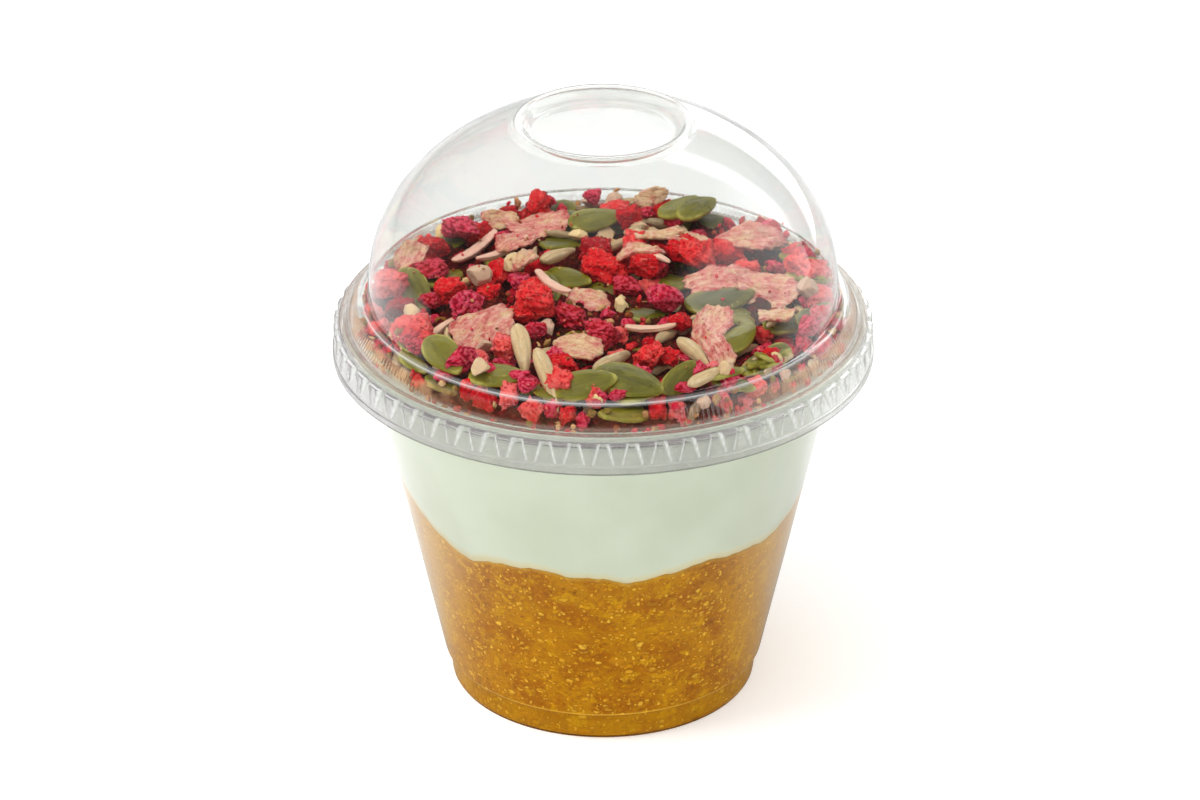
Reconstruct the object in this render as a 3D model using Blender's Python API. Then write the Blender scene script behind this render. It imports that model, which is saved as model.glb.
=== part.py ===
# A pot of chia pudding under a clear dome lid, in metres, +Z up.
# The origin is the middle of the cup's foot, on the table. The cup holds an orange chia
# layer, a white yogurt layer over it, and a heap of dried berries, flakes and seeds on top.
import math
import random
from collections import namedtuple

import bmesh
import bpy
from mathutils import Euler, Matrix, Vector, noise

MM = 0.001
GAP = 0.3 * MM  # between pieces that touch
CUP_SIDES = 48  # sides of the turned cup and of its layers
LID_SIDES = 60
SHARP_ANGLE = math.radians(38)

# Cup, a tapered pot of thin clear plastic
CUP_WALL = 0.6 * MM
CUP_HEIGHT = 74.5 * MM
FOOT_RADIUS = 28.9 * MM
FOOT_ROUND = 1.4 * MM
ROUND_MIDDLE = 0.3  # where the middle of a rounding lies, as a share of it
FOOT_HEIGHT = 5.4 * MM
BASE_RADIUS = 22.0 * MM  # the raised middle of the base
BASE_RISE = 0.9 * MM
STEP_RADIUS = 30.3 * MM
STEP_HEIGHT = 6.2 * MM
WALL_SLOPE = 0.219  # how far the wall spreads for each unit of height
RIM_RADIUS = 48.6 * MM
RIM_BEAD = 1.7 * MM
RIM_POINTS = 6
RIM_START, RIM_TURN = -90, 270  # degrees round the bead, from under it to its inner side

# Lid, a fluted skirt, a sloping collar and a dome with a small ring on top
LID_WALL = 0.6 * MM
SKIRT_RADIUS = 50.5 * MM
SKIRT_BOTTOM = 68.1 * MM
LIP_TOP = 69.7 * MM
FLUTE_RADIUS = 49.7 * MM
FLUTE_DEPTH = 0.45 * MM
FLUTE_END_DEPTH = 0.18 * MM
FLUTE_TOP = 73.8 * MM
LAND_TOP = CUP_HEIGHT + GAP + LID_WALL
LAND_OUTER = 49.2 * MM
LAND_INNER = 47.5 * MM
COLLAR_TOP_RADIUS = 45.1 * MM
COLLAR_TOP = 79.6 * MM
DOME_RADIUS = 43.7 * MM
DOME_FOOT = 80.0 * MM
DOME_TOP = 113.87 * MM
DOME_ROUND = 1.65  # how square the dome is across
DOME_CROWN = 2.31  # how square it is from foot to top
DOME_ROWS = 7
INNER_DOME_ROWS = 5
RING_RADIUS = 16.4 * MM
RING_WIDTH = 1.1 * MM
RING_SPREAD = 0.18 * MM  # how far its foot stands out
RING_TOP = 114.75 * MM
PANEL_RADIUS = 13.9 * MM
PANEL_HEIGHT = 112.5 * MM

# Layers in the cup
CHIA_LEVEL = 39.8 * MM
# Where the chia stands higher or lower against the wall: azimuth from the front and half
# width in degrees, positive towards +X, and height in millimetres
CHIA_HUMPS = (
    (-84, 22, 7.4),
    (-43, 8, -1.2),
    (-18, 8, 0.8),
    (8, 8, -1.4),
    (29, 9, 0.8),
    (84, 17, 4.4),
    (150, 26, 2.4),
    (-148, 20, 1.4),
)
YOGURT_TOP = 73.0 * MM
YOGURT_SWELL = 0.8 * MM
YOGURT_BUMPS = 2.2  # how close its bumps are, for each radius of its top
LAYER_RINGS = (0.7, 0.35)  # rings of a layer's top, as shares of its radius

# Topping heap
HEAP_RADIUS = 42.4 * MM
HEAP_EDGE = 77.0 * MM
HEAP_CROWN = 78.3 * MM
HEAP_UNEVEN = 2.4 * MM
HEAP_BUMP = 6.5 * MM  # how far apart its bumps are
HEAP_SEED = 7
HEAP_SIDES = 28
HEAP_RINGS = (1.0, 0.86, 0.72, 0.57, 0.42, 0.26, 0.1)  # as shares of its radius
HEAP_REACH = 0.96  # how far out its spiral of pieces runs, as a share of its radius
HEAP_JITTER = 1.1 * MM  # how far a piece lies from its place on the spiral
PIECE_GROWTH = (0.82, 1.12)  # the smallest and largest piece against its kind's size
SHORTEST_EDGE = 0.02 * MM  # shorter ones, left where pieces cross, are closed up
GOLDEN_ANGLE = math.pi * (3 - math.sqrt(5))

# Shapes of the pieces, whose length, width and thickness are 1 until they are stretched
LUMP_UNEVEN = (0.78, 1.18)
CUBE_SIDE = 0.86
CUBE_UNEVEN = 0.12
FLAKE_RAGGED = (0.1, 0.12)
FLAKE_TAPER = 1.4
FLAKE_WAVE = 0.7 * MM
FLAKE_WAVE_LENGTH = 2.4 * MM
SEED_TAPER = (0.315, 0.54)
NIB_UNEVEN = (0.85, 1.15)


def clear_scene():
    for old in list(bpy.data.objects):
        bpy.data.objects.remove(old, do_unlink=True)


def finish(name, colour, roughness, alpha=1.0):
    """A Principled material of one colour."""
    made = bpy.data.materials.new(name)
    made.use_nodes = True
    shader = made.node_tree.nodes["Principled BSDF"]
    shader.inputs["Base Color"].default_value = (*colour, 1.0)
    shader.inputs["Roughness"].default_value = roughness
    shader.inputs["Metallic"].default_value = 0.0
    shader.inputs["Alpha"].default_value = alpha
    return made


def place(name, mesh, look):
    """Puts a mesh into the scene as one named object, smooth where it is round."""
    mesh.shade_smooth()
    mesh.set_sharp_from_angle(angle=SHARP_ANGLE)
    mesh.materials.clear()
    mesh.materials.append(look)
    thing = bpy.data.objects.new(name, mesh)
    bpy.context.scene.collection.objects.link(thing)
    return thing


def direction(step, sides):
    """The unit vector of one side, counted from the front (-Y) towards +X."""
    turn = math.tau * step / sides
    return Vector((math.sin(turn), -math.cos(turn), 0.0))


def ring(radius, height, sides, ripple=0.0):
    """Points of a level circle, whose radius swings by ripple from one side to the next."""
    points = []
    for step in range(sides):
        swing = ripple if step % 2 else -ripple
        points.append(direction(step, sides) * (radius + swing) + Vector((0.0, 0.0, height)))
    return points


def pole(height):
    return [Vector((0.0, 0.0, height))]


def join_rings(bm, lower, upper):
    """Faces between two rings: alike, one of twice the sides of the other, or one a point."""
    if len(upper) < len(lower):
        lower, upper = upper, lower
    few, many = len(lower), len(upper)
    if few == 1:
        for k in range(many):
            bm.faces.new((lower[0], upper[k], upper[(k + 1) % many]))
    elif few == many:
        for k in range(few):
            following = (k + 1) % few
            bm.faces.new((lower[k], lower[following], upper[following], upper[k]))
    else:
        for k in range(few):
            following = (k + 1) % few
            middle = upper[2 * k + 1]
            bm.faces.new((lower[k], middle, upper[2 * k]))
            bm.faces.new((lower[k], lower[following], middle))
            bm.faces.new((lower[following], upper[(2 * k + 2) % many], middle))


def closed_mesh(name, rings):
    """A closed solid through a list of rings that starts and ends on the axis."""
    bm = bmesh.new()
    rows = [[bm.verts.new(point) for point in points] for points in rings]
    for lower, upper in zip(rows, rows[1:]):
        join_rings(bm, lower, upper)
    bmesh.ops.recalc_face_normals(bm, faces=bm.faces)
    mesh = bpy.data.meshes.new(name)
    bm.to_mesh(mesh)
    bm.free()
    return mesh


def wall_radius(height):
    """The cup's outer radius above its step."""
    return STEP_RADIUS + WALL_SLOPE * (height - STEP_HEIGHT)


def cup_rings():
    """Outside from the middle of the base up to the rim, then down the inside."""
    outside = [
        (BASE_RADIUS, BASE_RISE),
        (BASE_RADIUS + BASE_RISE, 0.0),
        (FOOT_RADIUS - FOOT_ROUND, 0.0),
        (FOOT_RADIUS - FOOT_ROUND * ROUND_MIDDLE, FOOT_ROUND * ROUND_MIDDLE),
        (FOOT_RADIUS, FOOT_ROUND),
        (FOOT_RADIUS + CUP_WALL * 0.5, FOOT_HEIGHT),
        (STEP_RADIUS, STEP_HEIGHT),
    ]
    bead_middle = RIM_RADIUS - RIM_BEAD
    bead_height = CUP_HEIGHT - RIM_BEAD
    outside.append((wall_radius(bead_height - RIM_BEAD), bead_height - RIM_BEAD))
    rim = []
    for step in range(RIM_POINTS):
        turn = math.radians(RIM_START + RIM_TURN * step / (RIM_POINTS - 1))
        rim.append((bead_middle + RIM_BEAD * math.cos(turn), bead_height + RIM_BEAD * math.sin(turn)))
    inside = [
        (wall_radius(bead_height - RIM_BEAD) - CUP_WALL, bead_height - RIM_BEAD),
        (STEP_RADIUS - CUP_WALL, STEP_HEIGHT),
        (FOOT_RADIUS - CUP_WALL * 0.5, FOOT_HEIGHT),
        (FOOT_RADIUS - CUP_WALL, FOOT_ROUND + CUP_WALL),
        (FOOT_RADIUS - FOOT_ROUND, CUP_WALL),
        (BASE_RADIUS + BASE_RISE, CUP_WALL),
        (BASE_RADIUS, BASE_RISE + CUP_WALL),
    ]
    rows = turned(outside + rim + inside, CUP_SIDES)
    return [pole(BASE_RISE), *rows, pole(BASE_RISE + CUP_WALL)]


def dome_radius(height):
    """The dome's outer radius, a curve squarer than a circle."""
    ring_share = (1 - (RING_RADIUS / DOME_RADIUS) ** DOME_ROUND) ** (1 / DOME_CROWN)
    full_height = (DOME_TOP - DOME_FOOT) / ring_share
    share = max(height - DOME_FOOT, 0.0) / full_height
    return DOME_RADIUS * (1 - share**DOME_CROWN) ** (1 / DOME_ROUND)


def dome_points(inset, rows):
    """The dome from its foot up to the ring, its rows closer together near the top."""
    points = []
    for step in range(rows):
        share = math.sin(math.pi / 2 * step / rows)
        height = DOME_FOOT + (DOME_TOP - DOME_FOOT) * share
        points.append((dome_radius(height) - inset, height - inset * share))
    return points


def turned(points, sides):
    return [ring(radius, height, sides) for radius, height in points]


def lid_rings():
    """Down the outside from the middle of the top panel, then up the inside."""
    outside = [
        (PANEL_RADIUS, PANEL_HEIGHT),
        (RING_RADIUS - RING_WIDTH, RING_TOP),
        (RING_RADIUS, RING_TOP),
        (RING_RADIUS + RING_SPREAD, DOME_TOP),
        *reversed(dome_points(0.0, DOME_ROWS)),
        (COLLAR_TOP_RADIUS, COLLAR_TOP),
        (LAND_INNER, LAND_TOP),
        (LAND_OUTER, LAND_TOP),
        (FLUTE_RADIUS, (LAND_TOP + FLUTE_TOP) / 2),
    ]
    flutes = [
        ring(FLUTE_RADIUS, FLUTE_TOP, 2 * LID_SIDES, FLUTE_END_DEPTH),
        ring(FLUTE_RADIUS, (FLUTE_TOP + LIP_TOP) / 2, 2 * LID_SIDES, FLUTE_DEPTH),
        ring(SKIRT_RADIUS - FLUTE_DEPTH, LIP_TOP, 2 * LID_SIDES, FLUTE_END_DEPTH),
    ]
    inner_flute = FLUTE_RADIUS - FLUTE_DEPTH - LID_WALL
    inside = [
        (SKIRT_RADIUS, LIP_TOP - FLUTE_DEPTH),
        (SKIRT_RADIUS, SKIRT_BOTTOM),
        (SKIRT_RADIUS - LID_WALL, SKIRT_BOTTOM),
        (SKIRT_RADIUS - LID_WALL, LIP_TOP - FLUTE_DEPTH - LID_WALL),
        (inner_flute, LIP_TOP),
        (inner_flute, (LAND_TOP + FLUTE_TOP) / 2 - LID_WALL),
        (LAND_OUTER - LID_WALL, LAND_TOP - LID_WALL),
        (LAND_INNER - LID_WALL, LAND_TOP - LID_WALL),
        (COLLAR_TOP_RADIUS - LID_WALL, COLLAR_TOP - LID_WALL),
        *dome_points(LID_WALL, INNER_DOME_ROWS),
        (RING_RADIUS - LID_WALL, DOME_TOP - LID_WALL),
        (PANEL_RADIUS + LID_WALL, PANEL_HEIGHT - LID_WALL),
    ]
    rows = turned(outside, LID_SIDES) + flutes + turned(inside, LID_SIDES)
    return [pole(PANEL_HEIGHT), *rows, pole(PANEL_HEIGHT - LID_WALL)]


def chia_height(heading, share):
    """The level of the chia at a heading in degrees and a share of the way to the wall."""
    rise = 0.0
    for azimuth, width, height in CHIA_HUMPS:
        apart = (heading - azimuth + 180) % 360 - 180
        rise += height * MM * math.exp(-((apart / width) ** 2))
    return CHIA_LEVEL + rise * share**2


def layer_level(level):
    """Rings of a layer's surface from the wall to the middle, at heights that level gives."""
    rings = []
    for share in (1.0, *LAYER_RINGS):
        points = []
        for step in range(CUP_SIDES):
            heading = 360 * step / CUP_SIDES
            height = level(heading, share)
            edge = layer_radius(level(heading, 1.0))
            points.append(direction(step, CUP_SIDES) * (edge * share) + Vector((0.0, 0.0, height)))
        rings.append(points)
    rings.append([Vector((0.0, 0.0, level(0.0, 0.0)))])
    return rings


def layer_radius(height):
    """The radius of what fills the cup, clear of its wall."""
    return wall_radius(height) - CUP_WALL - GAP


def chia_rings():
    """The lower layer, from the base up to its uneven level."""
    foot = FOOT_RADIUS - CUP_WALL - GAP
    floor = CUP_WALL + GAP
    base = [
        (BASE_RADIUS, BASE_RISE + floor),
        (BASE_RADIUS + BASE_RISE, floor),
        (FOOT_RADIUS - FOOT_ROUND - GAP, floor),
        (foot, FOOT_ROUND + floor),
        (foot + CUP_WALL * 0.5, FOOT_HEIGHT),
        (layer_radius(STEP_HEIGHT + GAP), STEP_HEIGHT + GAP),
    ]
    level = layer_level(chia_height)
    return [pole(BASE_RISE + floor), *turned(base, CUP_SIDES), *level]


def yogurt_height(heading, share):
    """The yogurt's top under the heap, a little uneven."""
    spot = direction(heading / 360 * CUP_SIDES, CUP_SIDES) * share
    return YOGURT_TOP - YOGURT_SWELL + YOGURT_SWELL * noise.noise(spot * YOGURT_BUMPS)


def yogurt_rings():
    """The white layer, from the chia's level up to the heap."""

    def floor(heading, share):
        return chia_height(heading, share) + GAP

    return [*reversed(layer_level(floor)), *layer_level(yogurt_height)]


def heap_height(spot):
    """The bare core's top at a point, uneven and a little higher in the middle."""
    share = min(math.hypot(spot.x, spot.y) / HEAP_RADIUS, 1.0)
    crown = HEAP_EDGE + (HEAP_CROWN - HEAP_EDGE) * (1 - share**2)
    return crown + HEAP_UNEVEN * noise.noise(Vector((spot.x, spot.y, 0.0)) / HEAP_BUMP)


def heap_core():
    """The smaller body under the pieces that show."""
    bottom = YOGURT_TOP + GAP
    rows = [pole(bottom), ring(HEAP_RADIUS, bottom, HEAP_SIDES)]
    for share in HEAP_RINGS:
        points = []
        for spot in ring(HEAP_RADIUS * share, 0.0, HEAP_SIDES):
            points.append(Vector((spot.x, spot.y, heap_height(spot))))
        rows.append(points)
    rows.append([Vector((0.0, 0.0, heap_height(Vector())))])
    return closed_mesh("heap core", rows)


def lump(draw, length, width, thickness):
    """A craggy berry chunk."""
    bm = bmesh.new()
    bmesh.ops.create_icosphere(bm, subdivisions=1, radius=0.5)
    for corner in bm.verts:
        corner.co *= draw.uniform(*LUMP_UNEVEN)
    bm.transform(Matrix.Diagonal((length, width, thickness, 1.0)))
    return bm


def cube(draw, length, width, thickness):
    """A cut cube with uneven corners."""
    bm = bmesh.new()
    bmesh.ops.create_cube(bm, size=CUBE_SIDE)
    for corner in bm.verts:
        corner.co += Vector([draw.uniform(-CUBE_UNEVEN, CUBE_UNEVEN) for _ in range(3)])
    bm.transform(Matrix.Diagonal((length, width, thickness, 1.0)))
    bmesh.ops.triangulate(bm, faces=bm.faces)
    return bm


def flake(draw, length, width, thickness):
    """A thin wavy shaving with a ragged outline."""
    bm = bmesh.new()
    bmesh.ops.create_grid(bm, x_segments=2, y_segments=2, size=0.5)
    along, across = FLAKE_RAGGED
    for corner in bm.verts:
        corner.co.x += draw.uniform(-along, along)
        corner.co.y += draw.uniform(-across, across)
        corner.co.y *= 1 - FLAKE_TAPER * corner.co.x**2
    bm.transform(Matrix.Diagonal((length, width, 1.0, 1.0)))
    lean = draw.uniform(0.0, math.tau)
    for corner in bm.verts:
        corner.co.z = FLAKE_WAVE * math.sin(corner.co.x / FLAKE_WAVE_LENGTH + lean)
    bmesh.ops.triangulate(bm, faces=bm.faces)
    under = bmesh.ops.duplicate(bm, geom=bm.faces[:] + bm.edges[:] + bm.verts[:])
    lower = [item for item in under["geom"] if isinstance(item, bmesh.types.BMVert)]
    bmesh.ops.translate(bm, verts=lower, vec=(0.0, 0.0, -thickness))
    bmesh.ops.bridge_loops(bm, edges=[edge for edge in bm.edges if edge.is_boundary])
    bmesh.ops.recalc_face_normals(bm, faces=bm.faces)
    bmesh.ops.triangulate(bm, faces=bm.faces)
    return bm


def seed(draw, length, width, thickness, rows=3):
    """A flat seed, blunt at one end and pointed at the other."""
    bm = bmesh.new()
    bmesh.ops.create_uvsphere(bm, u_segments=8, v_segments=rows, radius=0.5)
    taper = draw.uniform(*SEED_TAPER)
    for corner in bm.verts:
        corner.co.y *= 1 - taper * (corner.co.x + 0.5)
    bm.transform(Matrix.Diagonal((length, width, thickness, 1.0)))
    bmesh.ops.triangulate(bm, faces=bm.faces)
    return bm


def kernel(draw, length, width, thickness):
    return seed(draw, length, width, thickness, rows=2)


def nib(draw, length, width, thickness):
    """A small blunt bit of nut."""
    bm = bmesh.new()
    bmesh.ops.create_uvsphere(bm, u_segments=5, v_segments=2, radius=0.5)
    for corner in bm.verts:
        corner.co *= draw.uniform(*NIB_UNEVEN)
    bm.transform(Matrix.Diagonal((length, width, thickness, 1.0)))
    return bm


# Each kind of piece: its maker, how many there are, its length, width and thickness and how
# far its middle stands over the core in millimetres, and how far it tilts in degrees
Kind = namedtuple("Kind", "make count length width thickness lift tilt")
KINDS = (
    Kind(flake, 14, 13.5, 8.6, 1.0, 1.9, 26),
    Kind(seed, 19, 11.0, 6.2, 2.6, 1.2, 24),
    Kind(lump, 27, 7.4, 6.4, 6.0, 0.4, 180),
    Kind(kernel, 20, 9.2, 4.2, 2.3, 1.1, 26),
    Kind(cube, 18, 6.2, 5.4, 4.8, 0.6, 180),
    Kind(nib, 12, 4.8, 4.2, 3.8, 0.9, 180),
)


def fitted(bm, spot, lift, turn):
    """Puts a piece on the core, moved in where it would reach the lid or the yogurt."""
    bm.transform(Matrix.Translation(spot + Vector((0.0, 0.0, heap_height(spot) + lift))) @ turn)
    reach = max(math.hypot(corner.co.x, corner.co.y) for corner in bm.verts)
    if reach > HEAP_RADIUS:
        inwards = -Vector((spot.x, spot.y, 0.0)).normalized() * (reach - HEAP_RADIUS)
        bmesh.ops.translate(bm, verts=bm.verts, vec=inwards)
    lowest = min(corner.co.z for corner in bm.verts)
    floor = YOGURT_TOP + 2 * GAP
    if lowest < floor:
        bmesh.ops.translate(bm, verts=bm.verts, vec=(0.0, 0.0, floor - lowest))


def kinds_in_turn():
    """The kind of each piece in turn, always the one furthest behind its share."""
    used = [0] * len(KINDS)
    for _ in range(sum(kind.count for kind in KINDS)):
        behind = min(range(len(KINDS)), key=lambda k: (used[k] + 0.5) / KINDS[k].count)
        used[behind] += 1
        yield KINDS[behind]


def scattered(draw):
    """Every piece of the heap, along one sunflower spiral from the middle to the edge."""
    total = sum(kind.count for kind in KINDS)
    meshes = []
    for k, kind in enumerate(kinds_in_turn()):
        heading = k * GOLDEN_ANGLE
        reach = HEAP_RADIUS * HEAP_REACH * math.sqrt((k + 0.5) / total)
        spot = Vector((math.cos(heading), math.sin(heading), 0.0)) * reach
        spot += Vector((draw.uniform(-1, 1), draw.uniform(-1, 1), 0.0)) * HEAP_JITTER
        grow = draw.uniform(*PIECE_GROWTH) * MM
        bm = kind.make(draw, kind.length * grow, kind.width * grow, kind.thickness * grow)
        lean = math.radians(kind.tilt)
        angles = (draw.uniform(-lean, lean), draw.uniform(-lean, lean), draw.uniform(0, math.tau))
        fitted(bm, spot, kind.lift * MM, Euler(angles, "ZYX").to_matrix().to_4x4())
        mesh = bpy.data.meshes.new("topping piece")
        bm.to_mesh(mesh)
        bm.free()
        meshes.append(mesh)
    return meshes


def keep_largest_body(mesh):
    """Drops loose scraps and the walls of sealed hollows, which fills them."""
    bm = bmesh.new()
    bm.from_mesh(mesh)
    waiting = set(bm.verts)
    bodies = []
    while waiting:
        group = set()
        border = [waiting.pop()]
        while border:
            corner = border.pop()
            group.add(corner)
            for edge in corner.link_edges:
                other = edge.other_vert(corner)
                if other in waiting:
                    waiting.remove(other)
                    border.append(other)
        bodies.append(group)
    bodies.sort(key=len)
    for group in bodies[:-1]:
        bmesh.ops.delete(bm, geom=list(group), context="VERTS")
    bmesh.ops.dissolve_degenerate(bm, dist=SHORTEST_EDGE, edges=bm.edges)
    bmesh.ops.triangulate(bm, faces=bm.faces)
    bm.to_mesh(mesh)
    bm.free()


def topping_heap(look):
    """The core and its pieces joined into one body."""
    heap = place("topping", heap_core(), look)
    pieces = bpy.data.collections.new("topping pieces")
    bpy.context.scene.collection.children.link(pieces)
    for mesh in scattered(random.Random(HEAP_SEED)):
        pieces.objects.link(bpy.data.objects.new("topping piece", mesh))
    union = heap.modifiers.new("fuse", "BOOLEAN")
    union.operation = "UNION"
    union.operand_type = "COLLECTION"
    union.collection = pieces
    union.solver = "MANIFOLD"
    bpy.context.view_layer.objects.active = heap
    bpy.ops.object.modifier_apply(modifier=union.name)
    for piece in list(pieces.objects):
        bpy.data.objects.remove(piece, do_unlink=True)
    bpy.data.collections.remove(pieces)
    keep_largest_body(heap.data)
    return heap


def main():
    clear_scene()
    cup_plastic = finish("clear cup plastic", (0.86, 0.89, 0.88), 0.08, 0.22)
    lid_plastic = finish("clear lid plastic", (0.86, 0.89, 0.88), 0.07, 0.25)
    chia = finish("orange chia", (0.58, 0.27, 0.03), 0.45)
    yogurt = finish("white yogurt", (0.78, 0.83, 0.74), 0.5)
    berries = finish("berry and seed topping", (0.42, 0.09, 0.08), 0.75)
    place("cup", closed_mesh("cup", cup_rings()), cup_plastic)
    place("lid", closed_mesh("lid", lid_rings()), lid_plastic)
    place("chia_pudding", closed_mesh("chia_pudding", chia_rings()), chia)
    place("yogurt", closed_mesh("yogurt", yogurt_rings()), yogurt)
    topping_heap(berries)


main()
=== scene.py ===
# A pot of chia pudding under a clear dome lid: its fine shapes and its finishes.
import math

import bmesh
import bpy
import numpy as np
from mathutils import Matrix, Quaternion, Vector


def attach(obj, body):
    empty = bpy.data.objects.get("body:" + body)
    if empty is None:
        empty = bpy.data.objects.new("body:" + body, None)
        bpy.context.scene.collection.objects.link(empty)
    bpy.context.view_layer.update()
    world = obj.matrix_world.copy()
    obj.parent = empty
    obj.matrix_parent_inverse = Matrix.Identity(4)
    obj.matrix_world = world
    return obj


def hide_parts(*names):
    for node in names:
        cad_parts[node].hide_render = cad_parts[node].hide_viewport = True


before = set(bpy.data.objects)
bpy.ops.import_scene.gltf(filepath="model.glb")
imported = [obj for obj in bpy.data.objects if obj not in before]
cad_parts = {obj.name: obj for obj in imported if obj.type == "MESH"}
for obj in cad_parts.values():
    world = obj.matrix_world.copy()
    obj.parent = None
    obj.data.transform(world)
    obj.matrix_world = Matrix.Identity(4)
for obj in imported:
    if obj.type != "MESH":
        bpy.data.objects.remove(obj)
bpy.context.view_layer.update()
scene = bpy.context.scene
mm = 0.001
print("frame loaded:", sorted(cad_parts))

# The photograph's camera, in millimetres and degrees
camera = {
    "place": (-0.6, -914.0, 537.0),
    "tilt": 27.71,  # below the level
    "lens": 165.0,
    "sensor": 36.0,
    "photoWidth": 1200,
    "photoHeight": 800,
}


def makeCamera():
    data = bpy.data.cameras.new("camera")
    data.lens = camera["lens"]
    data.sensor_width = camera["sensor"]
    data.clip_start = 0.01
    data.clip_end = 50.0
    thing = bpy.data.objects.new("camera", data)
    thing.location = [part * mm for part in camera["place"]]
    thing.rotation_euler = (math.radians(90 - camera["tilt"]), 0.0, 0.0)
    scene.collection.objects.link(thing)
    scene.camera = thing


def underPixel(across, down, height):  # where a pixel of the photograph meets a level
    reach = camera["photoWidth"] * camera["lens"] / camera["sensor"]
    right = (across - camera["photoWidth"] / 2) / reach
    up = (camera["photoHeight"] / 2 - down) / reach
    lean = math.radians(camera["tilt"])
    ray = np.array([right, math.cos(lean) + up * math.sin(lean), up * math.cos(lean) - math.sin(lean)])
    start = np.array(camera["place"])
    return (start + ray * (height - start[2]) / ray[2])[:2]


def screen(red, green, blue):  # a colour as a screen shows it, 0 to 255, made linear
    shares = [part / 255 for part in (red, green, blue)]
    return tuple(s / 12.92 if s <= 0.04045 else ((s + 0.055) / 1.055) ** 2.4 for s in shares)


def facing(heading, rise):  # the unit vector at a heading from the front towards +X, and a rise
    turn, up = math.radians(heading), math.radians(rise)
    return np.array([math.sin(turn) * math.cos(up), -math.cos(turn) * math.cos(up), math.sin(up)])


# The studio. Each lamp: heading, rise, distance, width and height in metres, how far it is
# turned, the brightness of its face, whether it lights things and is mirrored in them, and
# the shares of its width and height over which it fades out at its edges
studio = {
    "aim": 0.06,  # the height that the lamps point at
    "room": 0.5,  # how bright it is as light, beside 1 to the eye
    "roomTint": (0.99, 1.0, 0.985),
    "roomTurn": (0.0, 0.6),  # between where the room goes from its front to its back
    "mirroredRoom": (0.05, 0.75),  # in front and behind, as the plastic mirrors it
    "mirroredInside": (0.1, 0.34),  # the same, inside the dome
    "floorHalf": 6.0,
    "floorDrop": 0.0002,  # under the cup's foot
    "floor": (0.9, 0.9, 0.9),
    "floorGlow": 0.3,
    "floorThrough": 1.12,  # its brightness through the plastic
    "mirroredFloor": (0.04, 0.86),  # in front and behind, as the plastic mirrors it
    "floorTurn": (-0.07, 0.08),  # between where it goes from the one to the other, in metres
    "bounces": {"max_bounces": 24, "transmission_bounces": 20, "transparent_max_bounces": 32},
    "lamps": {
        "top light": (-30, 80, 1.6, 2.4, 2.4, 0, 1.28, True, False, (0, 0)),
        "top card": (0, 86, 1.3, 0.9, 0.9, 0, 0.9, False, True, (0.45, 0.45)),
        "key": (-68, 54, 1.3, 0.6, 0.6, 0, 6.6, True, False, (0, 0)),
        "right fill": (80, 30, 1.4, 0.6, 0.6, 0, 0.8, True, False, (0, 0)),
        "right card": (87, 21, 1.0, 1.5, 1.45, 0, 2.5, False, True, (0, 0.3)),
        "far card": (157, 1, 1.1, 0.95, 0.65, 39, 2.8, False, True, (0.12, 0.12)),
        "back card": (180, 38, 1.1, 0.9, 0.8, 0, 1.1, False, True, (0.3, 0.3)),
        "back strip": (138, 38, 1.1, 0.23, 1.2, -32, 8.0, False, True, (0.42, 0.3)),
    },
    "seenThrough": "back card",  # the one lamp that shows through the plastic
}


def makeLamp(name, heading, rise, away, wide, high, roll, bright, lights, mirrored, fading):
    lamp = bpy.data.lights.new(name, "AREA")
    lamp.shape = "RECTANGLE"
    lamp.size, lamp.size_y = wide, high
    lamp.energy = bright * wide * high * math.pi
    if any(fading):
        fadeEdges(lamp, fading)
    thing = bpy.data.objects.new(name, lamp)
    out = facing(heading, rise)
    thing.location = out * away + np.array([0.0, 0.0, studio["aim"]])
    thing.rotation_mode = "QUATERNION"
    turned = Quaternion((0.0, 0.0, 1.0), math.radians(roll))
    thing.rotation_quaternion = Vector(out).to_track_quat("Z", "Y") @ turned
    thing.visible_camera = False
    thing.visible_transmission = name == studio["seenThrough"]
    thing.visible_diffuse = lights
    thing.visible_glossy = mirrored
    scene.collection.objects.link(thing)


def fadeEdges(lamp, fading):
    look = Look(lamp.name, lamp)
    face = look.add("ShaderNodeNewGeometry", out="Parametric")
    strength = 1.0
    for axis, share in zip("XY", fading):
        if share:
            place = face.part(axis)
            strength = strength * place.ease(0.0, share) * place.fade(1 - share, 1.0)
    glow = look.add("ShaderNodeEmission", {}, {"Strength": strength})
    look.add("ShaderNodeOutputLight", {}, {"Surface": glow})


def makeFloor():  # lit as light falls on it, dark in front where the plastic mirrors it
    half = studio["floorHalf"]
    mesh = bpy.data.meshes.new("floor")
    corners = [(-half, -half, 0.0), (half, -half, 0.0), (half, half, 0.0), (-half, half, 0.0)]
    mesh.from_pydata(corners, [], [(0, 1, 2, 3)])
    floor = bpy.data.objects.new("floor", mesh)
    floor.location.z = -studio["floorDrop"]
    scene.collection.objects.link(floor)
    look = Look("floor")
    away = look.add("ShaderNodeTexCoord", out="Object").part("Y")
    low, high = ((share,) * 3 for share in studio["mirroredFloor"])
    shade = look.blend(away.ease(*studio["floorTurn"]), low, high)
    mirrored = look.add("ShaderNodeBsdfDiffuse", {}, {"Color": shade})
    plain = look.add("ShaderNodeBsdfDiffuse", {}, {"Color": studio["floor"]})
    glow = look.add("ShaderNodeEmission", {}, {"Strength": studio["floorGlow"]})
    plain = look.add("ShaderNodeAddShader", {}, (plain, glow))
    through = look.add("ShaderNodeEmission", {}, {"Strength": studio["floorThrough"]})
    plain = look.mixShader(look.seenBy("Transmission Depth"), plain, through)
    mesh.materials.append(look.done(look.mixShader(look.seenBy("Glossy Depth"), plain, mirrored)))


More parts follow.
